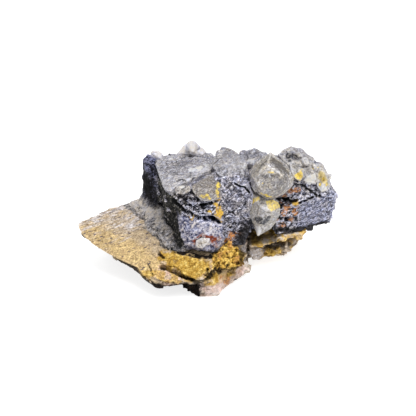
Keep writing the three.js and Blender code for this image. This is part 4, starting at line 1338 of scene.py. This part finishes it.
# Faces and patches on the crystals, seen along SEEN: the tint that changes on them, by how
# much, and their outline. On the front crystal the tone faces are painted facet shading, and
# the first cloud face, on the back-left crystal, is painted light over its shaded middle.
SEEN = (0, -0.88, 0.47)
FACES = [
    ("tone", -0.24, [
        (23.1, -7.4, 49.9), (25.2, -7.6, 48.6), (28.9, -9.1, 45.4), (30.6, -9.5, 43.1),
        (28.0, -12.0, 44.6), (25.8, -12.1, 46.3), (22.8, -10.8, 48.3),
    ]),
    ("warm", 0.26, [
        (22.9, -7.4, 50.3), (18.0, -8.6, 47.0), (16.3, -9.3, 44.3), (18.1, -12.4, 44.4),
        (22.1, -11.6, 48.1),
    ]),
    ("warm", 0.3, [
        (23.1, -7.4, 50.2), (27.0, -8.0, 47.6), (30.8, -9.2, 44.0), (29.2, -10.2, 44.3),
        (25.6, -9.6, 47.4), (22.9, -9.4, 49.2),
    ]),
    ("tone", 0.04, [
        (23.1, -7.4, 50.2), (27.0, -8.0, 47.6), (30.8, -9.2, 44.0), (29.4, -10.0, 44.7),
        (25.6, -9.0, 47.9),
    ]),
    ("warm", 0.1, [
        (22.1, -11.6, 48.1), (27.0, -13.2, 44.5), (22.5, -13.4, 45.2), (18.1, -12.4, 44.4),
    ]),
    ("tone", 0.1, [
        (22.1, -11.6, 48.1), (25.6, -12.6, 45.8), (22.5, -13.0, 45.7), (18.6, -12.4, 45.2),
    ]),
    ("warm", 0.9, [
        (41.6, -3.8, 41.8), (43.6, -3.2, 41.6), (46.2, -1.6, 34.6), (43.4, -4.4, 36.6),
        (41.0, -5.2, 39.6),
    ]),
    ("tone", -0.05, [
        (22.8, -7.4, 50.0), (18.5, -8.6, 47.0), (16.3, -9.3, 44.3), (18.1, -12.4, 44.4),
        (22.1, -11.6, 48.1),
    ]),
    ("tone", 0.07, [
        (15.6, -9.8, 43.6), (17.4, -12.2, 43.2), (18.0, -13.4, 39.6), (16.0, -12.4, 37.0),
        (14.8, -10.6, 39.6),
    ]),
    # Painted light over the back-left crystal's shaded middle.
    ("cloud", 0.3, [
        (-8.0, 11.2, 46.4), (-6.2, 11.4, 46.6), (-5.0, 11.6, 44.6), (-5.6, 10.2, 42.6),
        (-8.6, 11.6, 43.2),
    ]),
    ("tone", -0.16, [
        (19.0, -13.0, 44.9), (26.8, -13.2, 44.9), (26.0, -13.8, 43.6), (19.8, -13.8, 43.9),
    ]),
    ("tone", -0.14, [
        (27.0, -13.2, 44.5), (31.4, -10.3, 41.2), (27.4, -13.7, 37.8), (24.6, -14.3, 36.4),
        (24.3, -14.4, 42.5),
    ]),
    ("tone", 0.1, [
        (15.9, -9.7, 41.8), (17.7, -12.4, 43.9), (18.6, -13.4, 41.0), (21.0, -14.2, 37.0),
        (22.6, -14.3, 36.0), (18.9, -13.1, 37.3),
    ]),
    ("tone", 0.1, [
        (29.6, -11.6, 42.4), (31.4, -9.4, 42.4), (31.6, -10.1, 40.2), (30.7, -11.1, 38.8),
        (29.4, -12.4, 39.4),
    ]),
    ("dust", 1.0, [(32.0, -8.5, 42.0), (34.6, -7.1, 44.0), (35.4, -7.9, 41.7), (34.1, -8.8, 40.1)]),
    ("dust", 0.4, [
        (41.6, -3.8, 41.4), (43.6, -3.2, 41.0), (45.9, -1.6, 34.6), (43.6, -4.4, 36.6),
        (41.6, -5.2, 39.6),
    ]),
    ("tone", -0.2, [
        (36.6, -5.5, 43.0), (38.6, -4.0, 43.6), (40.9, -4.0, 43.2), (39.9, -7.0, 42.3),
        (37.1, -8.0, 42.0), (35.6, -6.1, 42.3),
    ]),
    ("tone", -0.18, [
        (31.0, -2.8, 44.6), (35.4, -2.8, 44.4), (36.0, -5.0, 43.4), (33.6, -6.4, 43.6),
        (31.6, -5.4, 43.8),
    ]),
    ("tone", -0.3, [
        (-12.0, -12.4, 41.4), (-11.1, -10.9, 41.8), (-9.8, -10.8, 42.0), (-8.4, -11.4, 42.0),
        (-8.1, -12.4, 41.6),
    ]),
    ("tone", -0.14, [
        (-7.4, -9.8, 42.0), (-6.6, -6.4, 42.0), (-4.0, -6.8, 42.0), (-2.2, -8.6, 42.0),
        (-4.8, -10.0, 42.0),
    ]),
    ("tone", 0.16, [
        (-14.4, 8.4, 40.4), (-12.4, 10.2, 40.4), (-10.8, 8.4, 40.8), (-12.6, 7.2, 40.7),
    ]),
    ("warm", 0.4, [
        (-14.4, 8.4, 40.4), (-12.4, 10.2, 40.4), (-10.8, 8.4, 40.8), (-12.6, 7.2, 40.7),
    ]),
    ("tone", 0.12, [
        (-5.4, 0.4, 41.9), (-2.8, 0.9, 42.0), (0.8, -1.4, 42.0), (-1.6, -4.6, 42.0),
        (-5.6, -3.4, 42.0),
    ]),
    ("cloud", 1.2, [
        (37.1, -8.0, 41.8), (39.9, -7.0, 42.1), (40.4, -7.2, 39.9), (37.8, -7.5, 37.6),
        (36.0, -7.8, 40.0),
    ]),
    ("cloud", 1.0, [
        (41.0, -4.8, 35.8), (44.6, -3.4, 35.4), (45.2, -2.6, 33.1), (42.5, -5.8, 34.0),
    ]),
    ("dust", 0.75, [
        (21.3, -14.4, 34.5), (24.2, -13.2, 34.5), (26.7, -13.0, 32.8), (27.0, -13.6, 31.4),
        (25.2, -15.2, 31.6), (23.4, -16.4, 31.0), (22.2, -16.4, 32.6),
    ]),
    ("dust", 0.8, [
        (16.7, -12.6, 34.5), (19.4, -12.0, 35.4), (19.0, -12.6, 34.3), (17.0, -12.9, 33.2),
    ]),
    ("shade", 1.0, [
        (17.1, -14.9, 28.1), (20.0, -17.3, 29.4), (23.4, -16.2, 29.4), (22.9, -15.6, 27.0),
        (20.9, -16.5, 25.7), (18.2, -16.1, 26.2),
    ]),
    ("cloud", 1.0, [(17.6, -15.6, 24.9), (19.8, -16.8, 24.7), (18.6, -15.9, 21.0)]),
]

# Fine light lines where growth steps catch the light, and dark lines where they don't.
LIGHT_LINES = [
    [(23.1, -7.4, 49.9), (22.3, -9.4, 49.0), (22.1, -11.6, 48.1)],
    [(22.1, -11.6, 48.1), (24.0, -12.2, 46.8), (26.1, -12.8, 45.4), (27.0, -13.2, 44.5)],
    [(22.1, -11.6, 48.1), (20.2, -12.2, 47.1), (18.1, -12.4, 44.4)],
    [(27.0, -13.2, 44.5), (25.2, -14.4, 42.4), (24.6, -15.2, 40.6)],
    [
        (22.6, -14.3, 36.0), (25.2, -13.4, 35.8), (28.2, -12.3, 36.9), (30.5, -11.1, 38.3),
        (31.5, -10.1, 40.3),
    ],
    [(31.5, -10.1, 40.3), (31.5, -9.2, 42.0)],
    [(23.0, -15.8, 31.6), (22.0, -17.2, 29.8), (20.2, -17.4, 28.9)],
    [(17.6, -14.4, 32.8), (20.0, -16.0, 32.0), (22.4, -16.0, 32.2), (25.6, -14.4, 31.4)],
    [(16.4, -13.7, 29.2), (18.4, -16.0, 29.6), (20.4, -17.5, 29.6)],
    [(26.4, -13.4, 29.6), (24.6, -14.8, 26.6), (21.0, -16.4, 23.2), (18.9, -16.2, 21.6)],
    [(-6.8, 2.6, 41.6), (-3.4, -1.6, 42.0), (1.0, -3.0, 42.0)],
    [(-9.0, -2.0, 41.8), (-5.0, -4.6, 42.0), (-0.6, -5.6, 42.0), (2.2, -4.0, 41.9)],
    [(-16.2, 9.1, 40.1), (-12.3, 9.5, 40.5), (-7.0, 10.4, 40.7), (-1.2, 8.1, 41.7)],
    [(-14.4, -1.0, 40.8), (-10.6, 0.2, 41.1), (-7.5, -1.4, 41.9), (-4.5, -4.1, 41.9)],
    [(-2.4, -17.0, 41.4), (1.4, -14.0, 42.4), (4.0, -12.4, 42.0)],
    [(-4.6, -15.8, 40.4), (-2.0, -17.8, 39.8), (0.4, -17.8, 38.2)],
    [(3.2, -1.2, 46.0), (7.0, 0.6, 47.4), (10.0, -2.0, 45.6)],
    [(6.2, -5.0, 45.2), (9.4, -3.4, 45.4), (13.0, -2.4, 44.6)],
    [(33.0, -5.6, 43.9), (35.2, -4.4, 43.0), (36.8, -3.9, 42.3)],
    [(31.0, 1.6, 46.2), (35.0, 3.0, 46.4), (38.8, 3.0, 44.8)],
]
DARK_LINES = [
    [(23.7, -8.2, 49.3), (28.2, -8.7, 46.3)],
    [(23.8, -8.8, 49.0), (28.8, -9.4, 45.4)],
    [(24.4, -9.2, 48.5), (29.3, -9.8, 44.7)],
    [(24.0, -9.8, 48.4), (28.6, -10.4, 44.9)],
    [(25.1, -10.0, 47.7), (29.6, -10.5, 43.8)],
    [(21.6, -9.6, 48.8), (19.2, -11.0, 46.8)],
    [(-1.6, -17.4, 42.0), (1.8, -13.8, 42.8), (4.8, -11.6, 42.6), (5.8, -12.2, 40.8)],
    [(29.4, 0.8, 45.6), (32.8, 1.4, 46.0)],
    [(2.2, -4.3, 44.9), (3.7, -3.3, 46.1), (4.9, -2.5, 46.6)],
    [
        (-6.7, -8.4, 42.0), (-6.6, -4.4, 41.7), (-6.0, -2.4, 42.0), (-4.5, 0.2, 41.9),
        (-2.6, 0.3, 42.0), (-1.1, -0.3, 42.1),
    ],
    [(-9.6, 9.1, 41.0), (-8.1, 11.0, 40.7), (-6.6, 11.1, 40.9)],
    [(-14.2, -8.0, 41.0), (-11.8, -6.6, 41.6), (-9.6, -7.0, 41.9)],
    [(-15.6, 2.0, 40.4), (-12.4, 0.4, 41.0), (-10.6, 1.6, 41.0)],
    [(-3.2, -6.6, 42.0), (-0.6, -5.4, 41.9), (0.8, -4.4, 41.7)],
]

# Cracks across the plate on the left block.
PLATE_LINES = [
    [
        (-6.2, -10.4, 41.0), (-5.0, -9.8, 41.9), (-2.2, -8.6, 42.0), (0.6, -7.6, 42.0),
        (2.2, -4.8, 41.8),
    ],
    [(-2.2, -6.4, 42.0), (0.4, -4.4, 41.9), (2.2, -2.0, 41.8)],
    [
        (-11.9, -12.3, 41.4), (-11.1, -11.2, 41.8), (-10.0, -11.2, 42.0), (-8.9, -11.8, 42.0),
        (-8.1, -12.4, 41.6),
    ],
    [(-10.0, 11.2, 40.4), (-5.0, 10.4, 40.9), (0.2, 8.2, 41.4)],
]

# Small crystal tips that stand out of the larger ones: x, y, z and radius.
SMALL_TIPS = {
    "right_top_crystals": [
        (36.9, -5.6, 41.2, 2.0), (39.0, -5.4, 40.6, 2.1), (39.6, -2.6, 42.4, 2.0),
        (42.2, -3.0, 40.4, 2.2), (33.8, -6.4, 42.0, 2.2), (31.4, 1.2, 46.0, 2.0),
        (34.4, 1.6, 46.4, 2.0), (29.2, -0.6, 45.4, 1.8), (44.6, -0.8, 38.4, 2.4),
        (43.4, -3.6, 35.6, 2.2), (36.4, -1.4, 44.0, 2.0),
    ],
    "back_left_crystal": [(-5.4, 12.4, 42.4, 2.3), (-2.8, 13.0, 41.8, 1.9)],
    "lower_crystal": [(18.4, -13.0, 34.0, 1.8), (24.6, -13.6, 33.0, 2.0)],
}

# Sharp corners that the larger crystals end in, and a small clear one in the right-hand group.
CORNERS = {
    "front_crystal": [
        (16.0, -9.6, 42.4), (17.4, -12.0, 43.0), (16.2, -10.8, 38.8), (17.6, -11.8, 36.8),
        (19.0, -13.0, 40.0), (19.4, -9.0, 38.0), (18.0, -8.0, 42.5),
    ],
    "right_top_crystals": [
        (36.0, -7.8, 40.0), (37.0, -8.0, 41.8), (39.9, -7.0, 42.1), (40.4, -7.2, 39.9),
        (37.8, -7.6, 37.8), (38.6, -4.0, 43.5), (36.4, -4.0, 40.0), (40.6, -4.0, 40.0),
    ],
    "back_left_crystal": [
        (-7.2, 12.0, 46.6), (-5.2, 12.0, 46.8), (-8.4, 12.0, 45.2), (-3.2, 12.0, 44.6),
        (-8.6, 13.0, 42.4), (-3.2, 13.0, 42.4), (-6.0, 15.0, 43.0), (-6.0, 9.8, 43.0),
    ],
    "far_left_crystal": [
        (-22.0, 17.0, 39.7), (-20.4, 17.2, 40.0), (-18.6, 17.2, 39.6), (-17.4, 17.6, 37.8),
        (-22.2, 17.0, 36.5), (-20.0, 20.0, 37.0), (-22.6, 19.0, 37.0),
    ],
    "centre_crystal": [
        (3.2, 0.0, 48.0), (4.1, 0.0, 48.7), (2.9, 0.0, 46.8), (6.4, 0.4, 48.2), (4.0, -3.0, 45.6),
        (4.0, 3.0, 45.6),
    ],
    "back_centre_crystal": [
        (14.6, 6.0, 45.2), (16.2, 6.0, 46.0), (13.6, 6.0, 44.4), (18.2, 5.6, 45.6),
        (16.0, 3.2, 44.2), (16.0, 9.0, 44.2),
    ],
}

# Where a crystal runs into the ore and takes on its grey, streaky grain: x, y, z and radius.
MERGE_SPOTS = [
    (7.0, -11.0, 40.6, 4.0), (11.5, -10.0, 39.8, 3.6), (14.6, -7.0, 41.0, 3.0),
    (5.0, -9.0, 43.2, 2.6), (10.0, -8.0, 41.6, 3.2), (17.0, -10.5, 40.0, 2.4),
    (36.0, 6.0, 44.8, 5.0), (30.0, 2.0, 45.4, 4.0), (17.5, 4.0, 44.0, 4.0), (-12.0, 4.0, 40.2, 9.0),
    (-4.0, 8.0, 41.0, 7.0),
]

# The corner of the front crystal that stands nearest, which is worn round.
NEAR_CORNER = (23.9, -15.6, 39.8)
CRYSTAL_SKIN = 0.22


def make_crystal(node, crystal):
    piece = copy_of_node(node, node + "_clear")
    rng = np.random.default_rng(17)
    tips = []
    for x, y, z, radius in SMALL_TIPS.get(node, []):
        tips.append(hull_shape(np.array([x, y, z]) + knob_corners(rng, 11) * radius))
    if node in CORNERS:
        tips.append(hull_shape(CORNERS[node]))
    if tips:
        join_shapes(piece, tips)
    mesh = remeshed(piece, CRYSTAL_SKIN)
    points = read_points(mesh)
    normals = read_normals(mesh)
    if node == "front_crystal":
        rounding = ease(distance(points, *NEAR_CORNER), 5.0, 2.5)[:, None]
        points = points + (smoothed(mesh, points, 20) - points) * rounding
    lines = points @ [0.5, -0.4, 0.76] + 0.5 * rubble(points, 3.5, 2, 91)
    growth = np.sin(lines * math.tau / 1.1) * ease(rubble(points, 4, 2, 92), -0.2, 0.5)
    merge = patches(points, MERGE_SPOTS, 90, 0.5, 0.8) * (crystal.slot == "grey_crystal")
    push = 0.2 + crystal.rough * (0.8 * rubble(points, 2.4, 4, 93) + 0.3 * growth)
    push += merge * 0.15 * rubble(points, 1.3, 3, 89)
    cracks = np.zeros(len(points))
    terrace = 0
    if node == "left_top_crystal":
        cracks = ruled(points, PLATE_LINES, 0.5, 0.22, 0.15 * rubble(points, 1.5, 2, 94))
        level = 2.6 * swell(points + 0.8 * rubble(points, 3.0, 2, 106)[:, None], 6.0, 95)
        step = np.floor(level)
        push += 0.12 * step
        edge = level - step
        # A light line painted along one side of each step's edge and a dark line along the other, as
        # painted highlight and shade; every other step a touch lighter.
        terrace = 0.16 * ease(edge, 0.84, 0.97) - 0.3 * ease(edge, 0.1, 0.03) + 0.07 * (step % 2)
    push -= 0.4 * cracks
    points = points + normals * push[:, None]
    if node == "back_left_crystal":
        steep = -9.7 - 2.6 * ease(points[:, 2], 43.8, 42.8)
        points[:, 0] = np.maximum(points[:, 0], steep + 0.2 * rubble(points, 2, 2, 101))
    write_points(mesh, points)

    fine = hollows(mesh, 6)
    broad = hollows(mesh, 24)
    held = {kind: np.zeros(len(points)) for kind in ("tone", "dust", "cloud", "shade", "warm")}
    wander = points + 0.18 * np.stack([rubble(points, 1.4, 3, seed) for seed in (103, 104, 105)], 1)
    for kind, amount, outline in FACES:
        held[kind] += amount * outline_share(wander, outline, SEEN, 0.2)
    ragged = 0.5 * rubble(points, 1.3, 3, 102)
    dust = most(
        patches(points, DUST_SPOTS, 97, 0.5),
        *(0.8 * ease(line_distance(points, path) + ragged, w, 0.3 * w) for w, path in DUST_LINES),
    )
    waver = 0.12 * rubble(points, 0.9, 2, 99)
    light = ruled(points, LIGHT_LINES, 0.4, 0.15, waver)
    dark = ruled(points, DARK_LINES, 0.5, 0.2, waver)
    # The tone: edges painted light and creases dark, broad hollows painted shade, the light and dark
    # lines painted as highlight and shade, and the faces' changes, among them the front crystal's
    # painted facet shading.
    tone = crystal.tone - crystal.rims * np.clip(fine, -0.05, 0.03) - 0.2 * np.clip(broad, -0.4, 0.4)
    tone = tone + 0.18 * light - 0.34 * dark - 0.1 * merge + held["tone"] + terrace
    tone = tone + changes(points, CRYSTAL_TONES, 0.35 * rubble(points, 2.2, 3, 100), 0.4)
    write_tints(
        mesh,
        tone=tone,
        dust=most(dust, held["dust"]),
        cloud=most(patches(points, CLOUD_SPOTS, 98, 0.5), held["cloud"]),
        shade=most(1.8 * patches(points, SHADOW_SPOTS, 96, 0.35), 0.9 * cracks, held["shade"]),
        merge=merge,
        warm=held["warm"],
    )
    place_piece(piece, node, crystal.slot, paint_crystal(node, crystal))


def paint_crystal(name, crystal):
    paint = Paint(name)
    tint = paint.tint
    veil = paint.noise(2.2, 3, 0.6, 2.2)
    needle = paint.noise(0.85, 2, 0.8, 0.8, place=paint.stretched((1, 1, 2.4), (0.4, 0.6, 0)))
    worm = paint.noise(1.0, 2, 0.8, 2.0)
    threads = paint.lines(2.4, 0.018, 0.8, paint.stretched((1, 1, 0.45), (0.5, -0.7, 0)))
    fissures = paint.lines(2.0, 0.016, 0.9, paint.stretched((1.2, 1, 0.4), (0.3, 0.9, 0.5)))
    merge = tint("merge")
    mottle = paint.noise(0.9, 3, 0.7)
    mixed = (needle - 0.5) * (1.5 + merge * 0.5) + (worm - 0.5) * (0.8 + merge * 0.7)
    mixed = mixed * crystal.grain + (veil - 0.5) * 0.9
    rest = paint.noise(3.0, 2, 0.5) * 1.5 + 0.25
    mixed = mixed * rest + threads * 0.36 - fissures * 0.3
    value = (tint("tone") + mixed).clipped()
    dark, middle, light = crystal.colours
    base = paint.shades(value, (0.1, *dark), (0.5, *middle), (0.9, *light))
    grey = paint.shades(value, (0.1, 60, 60, 68), (0.5, 154, 152, 160), (0.9, 232, 232, 242))
    # Milky patches, and light painted over the back-left crystal's shaded middle.
    milky_and_light = (tint("cloud") * (0.5 + 0.5 * mottle)).clipped()
    base = paint.layered(base, (merge * 0.8, grey), (milky_and_light, rgb(250, 250, 246)))
    warm, cool = (1.1, 1.03, 0.91), (0.94, 0.97, 1.1)
    cast = paint.ramp(paint.noise(1.8, 3, 0.75), (0.38, warm), (0.62, cool))
    base = paint.mix(0.9, base, cast, "MULTIPLY")
    base = paint.mix(tint("warm").clipped(), base, (1.08, 0.98, 0.66), "MULTIPLY")
    dust = paint.shades(mottle, (0.34, 164, 134, 36), (0.62, 230, 204, 92))
    dotted = paint.noise(0.8, 2, 0.8).above(0.42, 0.5)
    caked = tint("dust") * (mottle.above(0.3, 0.5) * 0.85 + 0.15)
    pitted = tint("shade") * (0.25 + dotted * 0.7)
    # The opaque coat: yellow dust, and speckled near black where the shade tint paints shade in pits
    # and cracks and the dark patch of the lower crystal.
    dust_and_shade = paint.mix(tint("shade").above(0.1, 0.3), dust, rgb(20, 22, 34))
    height = veil * 1.2 + needle * 0.6 + threads * 0.4
    bumps = paint.bump(height, 0.4, 0.3 * MM)
    links = {"Base Color": dust_and_shade, "Roughness": 0.8, "Normal": bumps}
    dust_and_shade_coat = paint.add("ShaderNodeBsdfPrincipled", None, links, "BSDF")
    clear = Value(paint, paint.surface.outputs["BSDF"])
    links = {0: (caked + pitted).clipped(), 1: clear, 2: dust_and_shade_coat}
    coat = paint.add("ShaderNodeMixShader", None, links, "Shader")
    paint.plug(paint.output.inputs["Surface"], coat)
    links = {"Color": (0.78, 0.76, 0.72), "Density": 35.0}
    body = paint.add("ShaderNodeVolumeAbsorption", None, links, "Volume")
    paint.plug(paint.output.inputs["Volume"], body)
    return paint.finish(
        Base_Color=base,
        Roughness=0.08 + veil * 0.2,
        Transmission_Weight=crystal.through,
        IOR=1.6,
        Normal=bumps,
    )


def make_veils(node, material, count, seed):
    """Thin wispy sheets of old fractures sealed inside a crystal, joined into one piece."""
    rng = np.random.default_rng(seed)
    low, high = box_in_drawing(node)
    middle = (low + high) / 2
    reach = (high - low) / 2
    corners = []
    faces = []
    across = np.linspace(-1, 1, VEIL_SIDE)
    grid = np.stack(np.meshgrid(across, across), -1).reshape(-1, 2)
    for sheet in range(count):
        start = middle + rng.uniform(-0.42, 0.42, 3) * reach
        turn = turned(*rng.uniform(0, math.tau, 3))
        spread = reach.min() * rng.uniform(0.3, 0.5)
        bend = 0.25 * rubble(np.c_[grid * 1.2, np.full(len(grid), 3.7 * sheet)], 1.0, 2, seed)
        veil = start + (np.c_[grid, bend] * spread) @ turn.T
        corners.append(middle + np.clip((veil - middle) / reach, -0.55, 0.55) * reach)
        for row in range(VEIL_SIDE - 1):
            for column in range(VEIL_SIDE - 1):
                a = len(grid) * sheet + VEIL_SIDE * row + column
                faces.append((a, a + 1, a + VEIL_SIDE + 1, a + VEIL_SIDE))
    mesh = bpy.data.meshes.new(node + "_veils")
    mesh.from_pydata(((np.concatenate(corners) + TO_FRAME) * MM).tolist(), [], faces)
    mesh.shade_smooth()
    mesh.materials.append(material)
    piece = new_object(node + "_veils", mesh)
    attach(piece, "root")


def paint_veils():
    paint = Paint("crystal_veil")
    wisp = paint.noise(1.4, 5, 0.75, 1.2)
    return paint.finish(
        Base_Color=paint.shades(wisp, (0.3, 190, 186, 180), (0.7, 250, 250, 252)),
        Roughness=0.6,
        Alpha=wisp.above(0.44, 0.62) * 0.75,
    )


def make_crystals():
    for node, crystal in CRYSTALS.items():
        make_crystal(node, crystal)
    veil = paint_veils()
    for seed, (node, count) in enumerate(VEILED.items(), VEIL_SEED):
        make_veils(node, veil, count, seed)


# ---- Floor, light and camera ---------------------------------------------------------------

# In metres.
FLOOR_HALF = 6.0
LAMP_PLACE = (0.3, -0.35, 1.1)
LAMP_SIZE = 0.7
LAMP_POWER = 14
WORLD_STRENGTH = 0.7

# In millimetres, and the angle at which the camera looks down.
CAMERA_HEIGHT = math.radians(28)
CAMERA_DISTANCE = 480
CAMERA_TARGET = np.array([0.0, 0.0, 24.0])
VIEW_WIDTH = 160.16
SENSOR = 36


def make_floor():
    """A faintly self-lit white floor."""
    mesh = bpy.data.meshes.new("floor")
    edge = FLOOR_HALF
    corners = [(-edge, -edge, 0), (edge, -edge, 0), (edge, edge, 0), (-edge, edge, 0)]
    mesh.from_pydata(corners, [], [(0, 1, 2, 3)])
    floor = new_object("floor", mesh)
    paint = Paint("floor")
    low, high = (0.51, 0.51, 0.51), (0.53, 0.53, 0.53)
    white = paint.ramp(paint.noise(40, 2, 0.5), (0, low), (1, high))
    mesh.materials.append(
        paint.finish(
            Base_Color=white, Roughness=0.8, Emission_Color=(1, 1, 1, 1), Emission_Strength=0.76
        )
    )


def make_lights():
    """Even white light from all round, and a square soft box that looks at the specimen."""
    world = bpy.data.worlds.new("studio")
    bpy.context.scene.world = world
    world.use_nodes = True
    background = world.node_tree.nodes["Background"]
    background.inputs["Color"].default_value = (1, 1, 1, 1)
    background.inputs["Strength"].default_value = WORLD_STRENGTH
    light = bpy.data.lights.new("key", "AREA")
    light.size = LAMP_SIZE
    light.energy = LAMP_POWER
    lamp = new_object("key", light)
    lamp.location = LAMP_PLACE
    lamp.rotation_euler = (-Vector(LAMP_PLACE)).to_track_quat("-Z", "Y").to_euler()


def make_camera():
    camera = bpy.data.cameras.new("camera")
    camera.sensor_width = SENSOR
    camera.lens = SENSOR * CAMERA_DISTANCE / VIEW_WIDTH
    camera.clip_start = 0.01
    holder = new_object("camera", camera)
    back = np.array([0, -math.cos(CAMERA_HEIGHT), math.sin(CAMERA_HEIGHT)])
    holder.location = (CAMERA_TARGET + TO_FRAME + CAMERA_DISTANCE * back) * MM
    holder.rotation_euler = (math.pi / 2 - CAMERA_HEIGHT, 0, 0)
    bpy.context.scene.camera = holder


make_camera()
make_rock()
make_ore()
make_crystals()
make_floor()
make_lights()
bpy.context.scene.view_settings.view_transform = "Standard"
